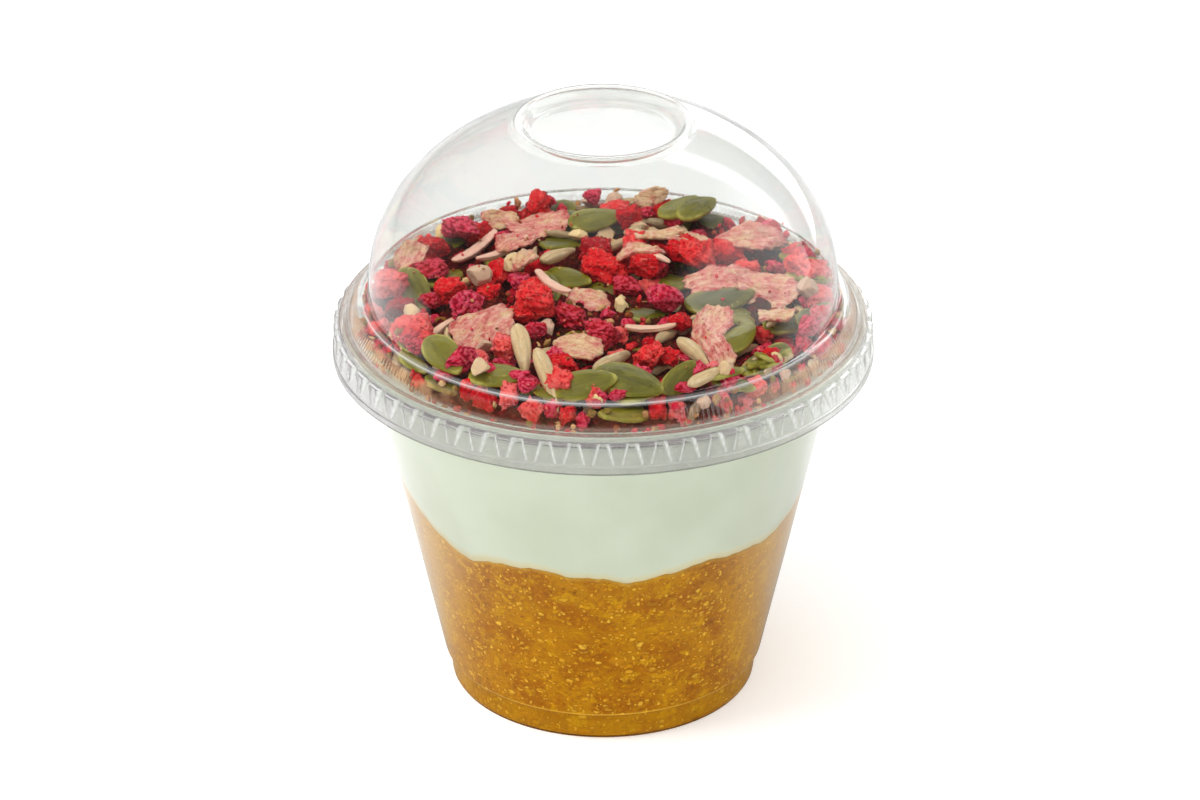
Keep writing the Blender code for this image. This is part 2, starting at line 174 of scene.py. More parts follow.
def makeRoom():  # pale to the eye, dimmer as light, and dark in front where it is mirrored
    world = bpy.data.worlds.new("room")
    look = Look("room", world)
    away = look.add("ShaderNodeTexCoord", out="Generated").part("Y")
    away = away.ease(*studio["roomTurn"])
    pairs = (studio["mirroredRoom"], studio["mirroredInside"])
    outer, inner = (low + (high - low) * away for low, high in pairs)
    seen = outer + (inner - outer) * look.once("Transmission Depth")
    lit = 1 + (studio["room"] - 1) * look.ray("Is Diffuse Ray")
    strength = lit + (seen - lit) * look.seenBy("Glossy Depth")
    sky = look.add("ShaderNodeBackground", {}, {"Color": studio["roomTint"], "Strength": strength})
    look.add("ShaderNodeOutputWorld", {}, {"Surface": sky})
    scene.world = world


def makeStudio():
    for name, lamp in studio["lamps"].items():
        makeLamp(name, *lamp)
    makeFloor()
    makeRoom()
    scene.view_settings.view_transform = "Standard"
    scene.cycles.use_denoising = True
    for name, count in studio["bounces"].items():
        setattr(scene.cycles, name, count)


# Shaders. A wire is a node's output that Python's operators work on
def arithmetic(way, flipped=False):
    def act(self, other):
        pair = (other, self) if flipped else (self, other)
        return self.look.add("ShaderNodeMath", {"operation": way}, pair)

    return act


def findSocket(sockets, key):
    if isinstance(key, int):
        return sockets[key]
    for socket in sockets:
        if socket.identifier == key or (socket.name == key and socket.enabled):
            return socket
    raise KeyError(key)


class Wire:
    def __init__(self, look, socket):
        self.look = look
        self.socket = socket

    def other(self, key):  # another output of the same node
        return Wire(self.look, findSocket(self.socket.node.outputs, key))

    def part(self, axis):  # one part of a vector
        return self.look.add("ShaderNodeSeparateXYZ", {}, (self,), axis)

    def ease(self, low, high, start=0.0, end=1.0):  # start below low to end above high, smoothly
        values = {"Value": self, "From Min": low, "From Max": high, "To Min": start, "To Max": end}
        return self.look.add("ShaderNodeMapRange", {"interpolation_type": "SMOOTHSTEP"}, values)

    def fade(self, low, high):  # 1 below low to 0 above high, smoothly
        return self.ease(low, high, 1.0, 0.0)

    __add__ = arithmetic("ADD")
    __radd__ = arithmetic("ADD", True)
    __sub__ = arithmetic("SUBTRACT")
    __rsub__ = arithmetic("SUBTRACT", True)
    __mul__ = arithmetic("MULTIPLY")
    __rmul__ = arithmetic("MULTIPLY", True)
    __truediv__ = arithmetic("DIVIDE")
    __rtruediv__ = arithmetic("DIVIDE", True)
    __pow__ = arithmetic("POWER")


class Look:  # the nodes of a material, a lamp or the room
    def __init__(self, name, owner=None):
        self.owner = owner or bpy.data.materials.new(name)
        self.owner.use_nodes = True
        self.tree = self.owner.node_tree
        self.tree.nodes.clear()

    def add(self, kind, settings=(), values=(), out=0):
        node = self.tree.nodes.new(kind)
        for name, value in dict(settings).items():
            if name == "stops":
                self.fillRamp(node.color_ramp, value)
            else:
                setattr(node, name, value)
        pairs = values.items() if isinstance(values, dict) else enumerate(values)
        for name, value in pairs:
            self.feed(findSocket(node.inputs, name), value)
        return Wire(self, findSocket(node.outputs, out)) if len(node.outputs) else node

    def feed(self, socket, value):
        if isinstance(value, Wire):
            self.tree.links.new(value.socket, socket)
        elif socket.type == "RGBA" and len(value) == 3:
            socket.default_value = (*value, 1.0)
        else:
            socket.default_value = value

    def fillRamp(self, ramp, stops):
        while len(ramp.elements) < len(stops):
            ramp.elements.new(1.0)
        for element, (place, colour) in zip(ramp.elements, stops):
            element.position = place
            element.color = (*colour, 1.0)

    def maths(self, way, *values):
        return self.add("ShaderNodeMath", {"operation": way}, values)

    def vector(self, way, *values):
        return self.add("ShaderNodeVectorMath", {"operation": way}, values)

    def place(self, size=1.0, stretch=(1.0, 1.0, 1.0)):  # the point in millimetres, over size
        spot = self.add("ShaderNodeTexCoord", out="Object")
        return self.vector("MULTIPLY", spot, tuple(1 / (mm * size) * part for part in stretch))

    def grain(self, size=1.0, stretch=(1.0, 1.0, 1.0)):  # the point on its own small piece
        spot = self.add("ShaderNodeAttribute", {"attribute_name": "grain"}, out="Vector")
        return self.vector("MULTIPLY", spot, tuple(part / size for part in stretch))

    def field(self, name):  # a number kept at each point of the mesh
        return self.add("ShaderNodeAttribute", {"attribute_name": name}, out="Fac")

    def noise(self, spot, detail=3.0, rough=0.55, twist=0.0):
        values = {"Vector": spot, "Scale": 1.0, "Detail": detail, "Roughness": rough, "Distortion": twist}
        return self.add("ShaderNodeTexNoise", {}, values)

    def cells(self, spot):  # how far it is to the nearest of many random points
        values = {"Vector": spot, "Scale": 1.0, "Randomness": 1.0}
        return self.add("ShaderNodeTexVoronoi", {"feature": "F1"}, values, "Distance")

    def ray(self, kind):
        return self.add("ShaderNodeLightPath", out=kind)

    def once(self, depth):  # 1 for a ray that was mirrored, or that went through, at least once
        return self.maths("MINIMUM", self.ray(depth), 1.0)

    def seenBy(self, depth):  # the same, but 0 for one that only carries light to a dull surface
        return self.once(depth) * (1 - self.ray("Is Diffuse Ray"))

    def most(self, one, two):
        return self.maths("MAXIMUM", one, two)

    def blend(self, mask, low, high):  # from colour low to colour high
        values = {"Factor_Float": mask, "A_Color": low, "B_Color": high}
        return self.add("ShaderNodeMix", {"data_type": "RGBA", "blend_type": "MIX"}, values, "Result_Color")

    def paint(self, colour, *coats):  # coats of a mask and a colour, each over those before it
        for mask, over in coats:
            colour = self.blend(mask, colour, over)
        return colour

    def ramp(self, value, *stops):
        return self.add("ShaderNodeValToRGB", {"stops": stops}, (value,), "Color")

    def warp(self, spot, amount, detail=1.0):  # the point moved about at random
        return self.vector("MULTIPLY_ADD", self.noise(spot, detail).other("Color"), (amount,) * 3, spot)

    def bump(self, height, depth):  # depth in millimetres
        return self.add("ShaderNodeBump", {}, {"Height": height, "Distance": depth * mm, "Strength": 1.0})

    def shader(self, soft=(), **values):  # soft is a share, a scale in metres and a reach
        named = {"colour": "Base Color", "rough": "Roughness", "normal": "Normal", "bend": "IOR",
                 "clear": "Transmission Weight", "shine": "Specular IOR Level"}
        values = {named[key]: value for key, value in values.items()}
        values.update(zip(("Subsurface Weight", "Subsurface Scale", "Subsurface Radius"), soft))
        return self.add("ShaderNodeBsdfPrincipled", {}, values)

    def mixShader(self, mask, low, high):
        return self.add("ShaderNodeMixShader", {}, (mask, low, high))

    def done(self, shader):
        self.add("ShaderNodeOutputMaterial", {}, {"Surface": shader})
        return self.owner

    def food(self, colour, rough, bumps, depth, **more):  # the bumps' depth in millimetres
        return self.done(self.shader(colour=colour, rough=rough, normal=self.bump(bumps, depth), **more))


# Meshes, in millimetres until they are made
def makePiece(name, points, faces, material, replaced, fields=(), sharp=None):
    mesh = bpy.data.meshes.new(name)
    mesh.from_pydata(np.asarray(points) * mm, [], faces)
    mesh.polygons.foreach_set("use_smooth", np.ones(len(mesh.polygons), bool))
    if sharp is not None:
        mesh.set_sharp_from_angle(angle=math.radians(sharp))
    for field, values in dict(fields).items():
        kind, part = ("FLOAT_VECTOR", "vector") if values.ndim == 2 else ("FLOAT", "value")
        kept = mesh.attributes.new(field, kind, "POINT").data
        kept.foreach_set(part, values.astype(np.float32).ravel())
    mesh.materials.append(material)
    mesh.update()
    thing = bpy.data.objects.new(name, mesh)
    scene.collection.objects.link(thing)
    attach(thing, "root")
    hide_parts(replaced)
    print(name, len(points), "points")


def circle(sides):  # unit vectors from the front towards +X
    turn = np.linspace(0, 2 * np.pi, sides, endpoint=False)
    return np.stack([np.sin(turn), -np.cos(turn)], 1)


def ringRow(radius, height, sides):  # radius and height may be arrays, one value for each side
    row = np.empty((sides, 3))
    row[:, :2] = circle(sides) * np.reshape(radius, (-1, 1))
    row[:, 2] = height
    return row


def tip(height):
    return np.array([[0.0, 0.0, height]])


def joinRows(rows):  # faces between rows of points, each a tip, alike, or some times finer
    starts = np.cumsum([0] + [len(row) for row in rows])
    faces = []
    for first, second, a, b in zip(rows, rows[1:], starts, starts[1:]):
        few, many = sorted((len(first), len(second)))
        coarse, fine, way = (a, b, 1) if few == len(first) else (b, a, -1)
        times = many // few
        for k in range(many if few == 1 else few):
            if few == 1:
                face = (coarse, fine + (k + 1) % many, fine + k)
            else:
                edge = [fine + (k * times + step) % many for step in range(times, -1, -1)]
                face = (coarse + k, coarse + (k + 1) % few, *edge)
            faces.append(face[::way])
    return np.concatenate(rows), faces


def eased(corners, support=0.25, steps=5):  # a profile whose corners are rounded by their third value
    line = []
    for k, (radius, height, rounding) in enumerate(corners):
        here = np.array([radius, height])
        if not rounding or k in (0, len(corners) - 1):
            line.append(here)
            continue
        before = np.array(corners[k - 1][:2]) - here
        after = np.array(corners[k + 1][:2]) - here
        cut = min(rounding, 0.45 * np.linalg.norm(before), 0.45 * np.linalg.norm(after))
        before, after = before / np.linalg.norm(before), after / np.linalg.norm(after)
        line.append(here + before * cut * (1 + support))
        for step in range(steps):
            share = step / (steps - 1)
            line.append(here + before * cut * (1 - share) ** 2 + after * cut * share**2)
        line.append(here + after * cut * (1 + support))
    return line


# Clear plastic that lamps shine through
plastic = {
    "tint": (0.93, 0.944, 0.926),
    "shade": (0.95, 0.965, 0.955),
    "rough": 0.025,
    "bend": 1.46,
    "frost": screen(156, 150, 152),
    "frostRough": 0.35,
}


def clearPlastic(look, ripple, depth, rough=0.0, frost=None, frostColour=None):
    shell = look.shader(colour=plastic["tint"], rough=rough + plastic["rough"], clear=1.0,
                        bend=plastic["bend"], normal=look.bump(ripple, depth))
    if frost is not None:
        shell = look.mixShader(frost, shell, look.shader(colour=frostColour, rough=plastic["frostRough"]))
    through = look.add("ShaderNodeBsdfTransparent", {}, {"Color": plastic["shade"]})
    passing = look.most(look.ray("Is Shadow Ray"), look.ray("Is Diffuse Ray"))
    return look.done(look.mixShader(passing, shell, through))


# Cup: a tapered pot with a stepped foot and a rolled rim
cup = {
    "sides": 192,
    "wall": 0.6,
    "height": 74.5,
    "footRadius": 28.9,
    "footRound": 1.4,
    "footHeight": 5.4,
    "baseRadius": 22.0,
    "baseRise": 0.9,
    "stepRadius": 30.3,
    "stepHeight": 6.2,
    "slope": 0.219,
    "rimRadius": 48.6,
    "rimBead": 1.7,
    "ripple": 0.05,
}


def wallRadius(height):  # the cup's outer radius above its step
    return cup["stepRadius"] + cup["slope"] * (height - cup["stepHeight"])


def cupProfile(inset, top):  # corners from the base's middle to a level, that far in from the outside
    base, rise, foot = cup["baseRadius"], cup["baseRise"], cup["footRadius"] - inset
    return [
        (base * 0.5, rise + inset, 0),
        (base, rise + inset, 0.5),
        (base + rise, inset, 0.5),
        (foot, inset, cup["footRound"]),
        (foot + cup["wall"] * 0.5, cup["footHeight"], 0.5),
        (cup["stepRadius"] - inset, cup["stepHeight"], 0.4),
        (wallRadius(top) - inset, top, 0),
    ]


def makeCup():
    wall, bead = cup["wall"], cup["rimBead"]
    neck = cup["height"] - 2 * bead
    middle, level = cup["rimRadius"] - bead, cup["height"] - bead
    turns = np.radians(np.linspace(-90, 180, 14))
    rim = [(middle + bead * math.cos(turn), level + bead * math.sin(turn)) for turn in turns]
    line = eased(cupProfile(0.0, neck)) + rim + eased(cupProfile(wall, neck)[::-1])
    rows = [ringRow(radius, height, cup["sides"]) for radius, height in line]
    rows = [tip(cup["baseRise"])] + rows + [tip(cup["baseRise"] + wall)]
    points, faces = joinRows(rows)
    look = Look("cup plastic")
    ripple = look.noise(look.place(9.0, (1.0, 1.0, 0.35)), 1.0)
    makePiece("cupShell", points, faces, clearPlastic(look, ripple, cup["ripple"]), "cup")


# Lid: a fluted skirt, a ribbed collar and a dome with a ring round its top, formed from
# one sheet, so it is as thick everywhere
lid = {
    "flutes": 60,
    "sidesPerFlute": 15,
    "wall": 0.36,
    "skirtRadius": 50.5,
    "skirtBottom": 68.1,
    "lipTop": 69.7,
    "fluteTop": 73.8,
    "fluteOut": 50.25,
    "fluteRoot": 49.15,
    "fluteHalf": (0.13, 0.33),  # half a flute's width at its foot and at its top, of the pitch
    "fluteSide": 0.12,
    "landTop": 75.4,
    "landOuter": 49.2,
    "landInner": 47.5,
    "ribs": 300,
    "ribDepth": 0.13,
    "ribBottom": 75.8,
    "ribTop": 78.3,
    "collarRadius": 45.1,
    "collarTop": 79.6,
    "domeRadius": 43.7,
    "domeFoot": 80.0,
    "domeTop": 113.87,
    "domeRound": 1.65,
    "domeCrown": 2.31,
    "domeRows": 30,
    "ringRadius": 16.4,
    "ringWidth": 1.2,
    "ringTop": 114.73,
    "panelRadius": 13.9,
    "panelHeight": 112.5,
    # how frosted it is: the skirt and its clouds, then narrower places, where pale frost is painted
    # highlight on the flutes' sides, the shelf, the dome's foot and the ring and dark frost is painted
    # shade along the skirt's lower edge, then the collar's stains, in the middle and more at the sides
    "frost": {"skirt": (0.2, 0.22), "crease": 0.15, "edge": 0.3, "shelf": 0.05, "foot": 0.3, "ring": 0.1,
              "stain": (0.12, 0.26), "land": 0.24},
    "ripple": 0.08,
    # a pale colour painted as highlight on the flutes' sides, the shelf, the dome's foot and the ring
    "crease": screen(238, 238, 236),
    # painted light: the frost is lighter towards the right
    "rightLitFrost": screen(206, 204, 200),
    "landFrost": screen(156, 126, 114),
    # edge: a dark colour painted as shade along the skirt's lower edge
    "edge": screen(96, 96, 90),
    "stain": screen(120, 62, 34),
    "paleStain": screen(204, 160, 120),
}


def domeRadius(height):
    share = (1 - (lid["ringRadius"] / lid["domeRadius"]) ** lid["domeRound"]) ** (1 / lid["domeCrown"])
    whole = (lid["domeTop"] - lid["domeFoot"]) / share
    rise = max(height - lid["domeFoot"], 0.0) / whole
    return lid["domeRadius"] * (1 - rise ** lid["domeCrown"]) ** (1 / lid["domeRound"])


def fluteShape(share, sides):  # how far a level of the skirt stands out, and how much painted highlight lies along its flutes' sides, share 0 at the lip
    phase = (np.arange(sides) / sides * lid["flutes"]) % 1.0 - 0.5
    low, high = lid["fluteHalf"]
    inside = (low + (high - low) * share - np.abs(phase)) / lid["fluteSide"]
    stand = np.clip(inside + 0.5, 0, 1)
    return stand * stand * (3 - 2 * stand), np.clip(1 - np.abs(inside), 0, 1) * (0.6 + 0.4 * share)


def lidLine(fine):  # radius, height, sides, how far each side stands out, how much painted highlight it gets along the flutes' sides
    half, quarter = fine // 2, fine // 4
    line = []

    def run(corners, sides, steps=5):
        line.extend((r, z, sides, 0.0, 0.0) for r, z in eased(corners, steps=steps))

    ring, panel, top = lid["ringRadius"], lid["panelRadius"], lid["domeTop"]
    run([
        (panel * 0.5, lid["panelHeight"], 0),
        (panel - 0.3, lid["panelHeight"], 0.9),
        (ring - lid["ringWidth"] - 0.2, lid["ringTop"], 0.6),
        (ring, lid["ringTop"], 0.45),
        (ring + 0.6, top - 0.22, 0.4),
        (domeRadius(top - 1.0), top - 1.0, 0),
    ], quarter)
    low, count = lid["domeFoot"], lid["domeRows"]
    for step in range(count, 0, -1):
        height = low + (top - 1.3 - low) * math.sin(math.pi / 2 * step / count)
        line.append((domeRadius(height), height, quarter, 0.0, 0.0))
    collar, foot = lid["collarRadius"], lid["collarTop"]

    def collarAt(height):
        return collar + (lid["landInner"] - collar) * (foot - height) / (foot - lid["landTop"])

    run([
        (domeRadius(lid["domeFoot"] + 1.2), lid["domeFoot"] + 1.2, 0),
        (lid["domeRadius"] + 0.05, lid["domeFoot"] + 0.1, 0.65),
        (collar - 0.1, foot, 0.65),
        (collarAt(foot - 0.9), foot - 0.9, 0),
    ], half)
    swing = np.where(np.arange(fine) % (fine // lid["ribs"]) == 0, 0.0, 1.0)
    for height, share in ((lid["ribTop"], 0), (lid["ribTop"] - 0.35, 1), (lid["ribBottom"] + 0.25, 1),
                          (lid["ribBottom"], 0)):
        line.append((collarAt(height), height, fine, swing * lid["ribDepth"] * share, swing * share))
    run([
        (collarAt(lid["ribBottom"] - 0.1), lid["ribBottom"] - 0.1, 0),
        (lid["landInner"] + 0.15, lid["landTop"] - 0.3, 0.4),
        (lid["landInner"] + 0.85, lid["landTop"], 0.4),
        (lid["landOuter"], lid["landTop"], 0.55),
        (lid["fluteRoot"] + 0.3, lid["fluteTop"] + 0.5, 0),
    ], half, steps=4)
    drop = lid["fluteTop"] - lid["lipTop"]
    line.append((lid["fluteRoot"] + 0.2, lid["fluteTop"] + 0.12, fine, 0.0, 0.0))
    for share in (1.0, 0.93, 0.8, 0.65, 0.5, 0.35, 0.2, 0.08):
        root = lid["fluteOut"] + (lid["fluteRoot"] - lid["fluteOut"]) * share
        stand, crease = fluteShape(share, fine)
        line.append((root, lid["lipTop"] + drop * share, fine, (lid["fluteOut"] - root) * stand, crease))
    run([
        (lid["fluteOut"] - 0.05, lid["lipTop"] + 0.1, 0),
        (lid["skirtRadius"], lid["lipTop"] - 0.15, 0.25),
        (lid["skirtRadius"], lid["skirtBottom"] + 0.1, 0),
    ], half, steps=4)
    return line


def lidLook():
    look, frost = Look("lid plastic"), lid["frost"]
    spot = look.place()
    across, along, height = (spot.part(axis) for axis in "XYZ")
    reach = (across * across + along * along) ** 0.5
    cloud = look.noise(look.place(2.2, (1.0, 1.0, 0.5)), 3.0)
    skirt = height.fade(lid["landTop"] - 0.9, lid["landTop"] + 0.1)
    # painted highlight along the flutes' sides, then painted highlight lines on the shelf, at the dome's foot
    # and on the ring
    crease = look.field("crease").ease(0.05, 1.0) * skirt
    off = reach - lid["collarRadius"] + 0.25
    shelf = (off * off).fade(0.3, 0.9) * height.ease(lid["collarTop"] - 0.6, lid["collarTop"] - 0.2)
    shelf = shelf * height.fade(lid["domeFoot"] + 0.1, lid["domeFoot"] + 0.5)
    foot = (off * off).fade(0.004, 0.03) * shelf
    ring = height.ease(lid["domeTop"] - 1.0, lid["domeTop"] - 0.4)
    ring = ring * reach.fade(lid["ringRadius"] + 0.8, lid["ringRadius"] + 1.6)
    # painted shade along the skirt's lower edge
    edge = height.fade(lid["skirtBottom"] + 0.1, lid["skirtBottom"] + 0.35)
    plain, clouded = frost["skirt"]
    share = skirt * (plain + cloud * clouded) + crease * frost["crease"] + edge * frost["edge"]
    share = share + shelf * frost["shelf"] + foot * frost["foot"] + ring * frost["ring"]
    collar = height.ease(lid["landTop"] - 0.4, lid["landTop"] + 0.1)
    collar = collar * height.fade(lid["ribTop"] - 0.6, lid["ribTop"] + 0.4)
    land = collar * height.fade(lid["landTop"] + 0.3, lid["landTop"] + 0.9)
    stain = collar * look.noise(look.place(3.0), 3.0, 0.6).ease(0.3, 0.65)
    sideways = (across * across).ease(300, 1500)
    plain, atSides = frost["stain"]
    share = share * (1 - collar) + stain * (plain + sideways * atSides) * (1 - land) + land * frost["land"]
    stained = look.blend((cloud * 0.5 + sideways * 0.7).ease(0.2, 0.9), lid["stain"], lid["paleStain"])
    colour = look.paint(
        plastic["frost"],
        # painted light: lighter frost towards the right
        (across.ease(16, 44), lid["rightLitFrost"]),
        # painted highlight on the flutes' sides, the shelf, the dome's foot and the ring
        (look.most(crease, look.most(shelf, ring)), lid["crease"]),
        # painted shade along the skirt's lower edge
        (edge, lid["edge"]),
        (collar, look.blend(land, stained, lid["landFrost"])),
    )
    return clearPlastic(look, look.noise(look.place(14.0), 1.0), lid["ripple"], collar * 0.06, share, colour)


def makeLid():
    line = lidLine(lid["flutes"] * lid["sidesPerFlute"])
    wall = lid["wall"]
    spine = np.array([(radius, height) for radius, height, *_ in line])
    along = np.gradient(spine, axis=0)
    along /= np.linalg.norm(along, axis=1)[:, None]
    inner = spine + np.stack([along[:, 1], -along[:, 0]], 1) * wall
    rows, paintedHighlights = [tip(lid["panelHeight"])], [np.zeros(1)]

    def add(radius, height, sides, swing=0.0, crease=0.0):
        rows.append(ringRow(radius + swing, height, sides))
        paintedHighlights.append(crease + np.zeros(sides))

    for level in line:
        add(*level)
    for radius in (lid["skirtRadius"] - 0.1, lid["skirtRadius"] - wall + 0.1):
        add(radius, lid["skirtBottom"], line[-1][2])
    for place, level in zip(inner[::-1], line[::-1]):
        add(*place, *level[2:])
    rows.append(tip(lid["panelHeight"] - wall))
    paintedHighlights.append(np.zeros(1))
    points, faces = joinRows(rows[::-1])
    fields = {"crease": np.concatenate(paintedHighlights[::-1])}
    makePiece("lidShell", points, faces, lidLook(), "lid", fields, sharp=34)


# Chia layer: its level against the wall rises and falls round the cup
chia = {
    "sides": 240,
    "rows": 30,
    "intoWall": 0.05,
    "level": 39.8,
    "swell": 0.5,  # how much higher its middle lies
    # heading and half width in degrees, height in millimetres
    "humps": ((-84, 22, 7.4), (-43, 8, -1.2), (-18, 8, 0.8), (8, 8, -1.4), (29, 9, 0.8), (84, 17, 4.4),
              (150, 26, 2.4), (-148, 20, 1.4)),
    "ochre": screen(181, 120, 0),
    "deep": screen(163, 97, 0),
    "yellow": screen(206, 150, 0),
    "peach": screen(214, 146, 12),
    "brown": screen(122, 66, 4),
    "speck": screen(246, 200, 62),
    "fleck": screen(220, 150, 0),
    "footTone": screen(190, 136, 2),
    "fringe": screen(214, 168, 66),
    # side: paler towards both sides of the cup, a painted reflection
    "side": screen(238, 188, 84),
    "soft": (0.12, 0.002, (1.0, 0.5, 0.05)),  # share, scale in metres and reach
    # size, stretch, how rare, and how wide each kind of fleck is
    "flecks": ((1.1, (1.0, 1.0, 1.5), 0.42, 0.17), (1.3, (1.7, 1.4, 1.0), 0.5, 0.17),
               (2.0, (1.0, 1.2, 1.5), 0.68, 0.14), (2.6, (1.0, 1.0, 1.3), 0.86, 0.14)),
}


def chiaLevel(heading):  # heading in degrees
    rise = np.zeros_like(heading)
    for middle, width, height in chia["humps"]:
        apart = (heading - middle + 180) % 360 - 180
        rise += height * np.exp(-((apart / width) ** 2))
    lumps = 0.22 * np.sin(np.radians(heading * 11) + 0.6) + 0.16 * np.sin(np.radians(heading * 23) + 2.0)
    crumbs = 0.1 * np.sin(np.radians(heading * 47)) + 0.07 * np.sin(np.radians(heading * 83) + 1.0)
    return chia["level"] + rise + lumps + crumbs


def fillRadius(height):  # reaches just into the wall
    return wallRadius(height) - cup["wall"] + chia["intoWall"]


def layerTop(level, swell, shares=(0.9, 0.7, 0.5, 0.3, 0.1)):  # rows from the wall in to the middle
    sides = len(level)
    middle = float(level.mean())
    rows = []
    for share in shares:
        height = middle + (level - middle) * share**2 + swell * (1 - share**2)
        rows.append(ringRow(fillRadius(level) * share, height, sides))
    return rows + [tip(middle + swell)]


def depths(rows, level):  # how far each point lies under the layers' border, in millimetres
    return np.concatenate([(level if len(row) > 1 else level.mean()) - row[:, 2] for row in rows])


def chiaLook():
    look = Look("chia pudding")
    cloud = look.noise(look.place(7.0), 4.0, 0.6)
    patch = look.noise(look.place(3.4, (1.0, 1.0, 1.3)), 3.0, 0.6, 0.6)
    fibre = look.noise(look.place(0.9, (1.0, 1.0, 1.4)), 3.0, 0.65)
    colour = look.paint(
        look.blend(cloud.ease(0.4, 0.6), chia["deep"], chia["ochre"]),
        (patch.ease(0.54, 0.68) * 0.8, chia["yellow"]),
        (patch.fade(0.3, 0.42) * 0.45, chia["peach"]),
        (fibre.ease(0.54, 0.7) * 0.45, chia["fleck"]),
        (fibre.fade(0.3, 0.42) * 0.55, chia["brown"]),
    )
    bumps = fibre * 0.3
    for size, stretch, rarity, edge in chia["flecks"]:
        cell = look.cells(look.warp(look.place(size, stretch), 0.8, 2.0))
        chance, tone, width = (cell.other("Color").part(axis) for axis in "XYZ")
        chosen = chance.ease(rarity, rarity + 0.03)
        near = cell / (0.55 + width)
        seed = near.fade(edge, edge + 0.16) * chosen * (0.4 + 0.6 * fibre.ease(0.4, 0.6))
        halo = near.ease(edge + 0.08, edge + 0.16) * near.fade(edge + 0.18, edge + 0.3) * chosen
        dark = tone.ease(0.78, 0.84)
        colour = look.paint(
            colour,
            (halo * 0.28, chia["brown"]),
            (seed * (1 - dark) * 0.85, look.blend(tone * 1.2, chia["fleck"], chia["speck"])),
            (seed * dark * 0.75, chia["brown"]),
        )
        bumps = bumps + seed * 0.5
    spot, step = look.place(), cup["stepHeight"]
    side, height = spot.part("X"), spot.part("Z")
    # painted shade just under the cup's step, and a painted highlight line at it
    stepShadow = height.ease(step - 1.0, step - 0.75) * height.fade(step - 0.75, step - 0.45)
    stepHighlight = height.ease(step - 0.4, step - 0.05) * height.fade(step - 0.05, step + 0.3)
    colour = look.paint(
        colour,
        # painted reflection, paler towards both sides of the cup
        ((side * side).ease(380, 1000) * 0.42, chia["side"]),
        (height.fade(step - 1.1, step - 0.7) * 0.35, chia["footTone"]),
        (stepShadow * 0.7, chia["brown"]),
        (stepHighlight * 0.55, chia["speck"]),
        ((look.field("depth") + patch * 1.6).fade(0.9, 2.0) * (0.25 + cloud * 0.4), chia["fringe"]),
    )
    return look.food(colour, 0.42, bumps, 0.12, shine=0.04, soft=chia["soft"])


def makeChia():
    sides = chia["sides"]
    level = chiaLevel(np.arange(sides) * 360 / sides)
    inset, bottom = cup["wall"] - chia["intoWall"], cup["stepHeight"] + 2
    base = eased(cupProfile(inset, bottom)[1:])
    rows = [tip(cup["baseRise"] + inset)] + [ringRow(r, z, sides) for r, z in base]
    for step in range(1, chia["rows"] + 1):
        height = bottom + (level - bottom) * step / chia["rows"]
        rows.append(ringRow(fillRadius(height), height, sides))
    rows += layerTop(level, chia["swell"])
    points, faces = joinRows(rows)
    makePiece("chiaLayer", points, faces, chiaLook(), "chia_pudding", {"depth": depths(rows, level)})


# Yogurt layer, over the chia up to the heap
yogurt = {
    "top": 73.0,
    "swell": -0.4,
    "rows": 16,
    "white": screen(210, 216, 198),
    "shade": screen(203, 209, 189),
    "stain": screen(226, 192, 110),
    "soft": (0.2, 0.003, (1.0, 0.9, 0.8)),
}


def yogurtLook():
    look = Look("yogurt")
    cloud = look.noise(look.place(16.0), 3.0)
    stain = (look.field("depth") + cloud * 1.8).ease(-1.1, 0.9)
    colour = look.blend(cloud.ease(0.35, 0.7), yogurt["shade"], yogurt["white"])
    colour = look.blend(stain * 0.45, colour, yogurt["stain"])
    return look.food(colour, 0.38, look.noise(look.place(1.1), 2.0), 0.03, shine=0.08, soft=yogurt["soft"])


def makeYogurt():
    sides = chia["sides"]
    turn = np.arange(sides) * 360 / sides
    level = chiaLevel(turn)
    under = layerTop(level, chia["swell"])[:-1]
    rows = [tip(float(level.mean()) + 0.6)] + [row + np.array([0.0, 0.0, 0.1]) for row in reversed(under)]
    for step in range(yogurt["rows"] + 1):
        height = level + (yogurt["top"] - level) * step / yogurt["rows"]
        rows.append(ringRow(fillRadius(height), height, sides))
    heading = np.radians(turn)
    top = yogurt["top"] + 0.2 * np.sin(heading * 5) + 0.15 * np.sin(heading * 9 + 1)
    rows += layerTop(top, yogurt["swell"])
    points, faces = joinRows(rows)
    makePiece("yogurtLayer", points, faces, yogurtLook(), "yogurt", {"depth": depths(rows, level)})


# Small pieces of the topping. Each maker gives points, faces and how high each point
# stands out of its own surface, 0 to 1. The level is how fine the mesh is
def fromBmesh(bm):
    bm.verts.index_update()
    points = np.array([corner.co for corner in bm.verts])
    faces = [tuple(corner.index for corner in face.verts) for face in bm.faces]
    bm.free()
    return points, faces


def ball(level, kept={}):
    if level not in kept:
        bm = bmesh.new()
        bmesh.ops.create_icosphere(bm, subdivisions=level, radius=1.0)
        kept[level] = fromBmesh(bm)
    return kept[level]


def block(cuts, kept={}):  # a cube of that many cuts each way
    if cuts not in kept:
        bm = bmesh.new()
        bmesh.ops.create_cube(bm, size=2.0)
        bmesh.ops.subdivide_edges(bm, edges=bm.edges, cuts=cuts, use_grid_fill=True)
        kept[cuts] = fromBmesh(bm)
    return kept[cuts]


def waves(points, draw, size, count=9):  # smooth unevenness about size long, mostly -1 to 1
    heading = draw.normal(size=(count, 3))
    heading /= np.linalg.norm(heading, axis=1)[:, None]
    pace = heading * (2 * np.pi / size * draw.uniform(0.6, 1.5, (count, 1)))
    return np.sin(points @ pace.T + draw.uniform(0, 2 * np.pi, count)).sum(1) / math.sqrt(count)


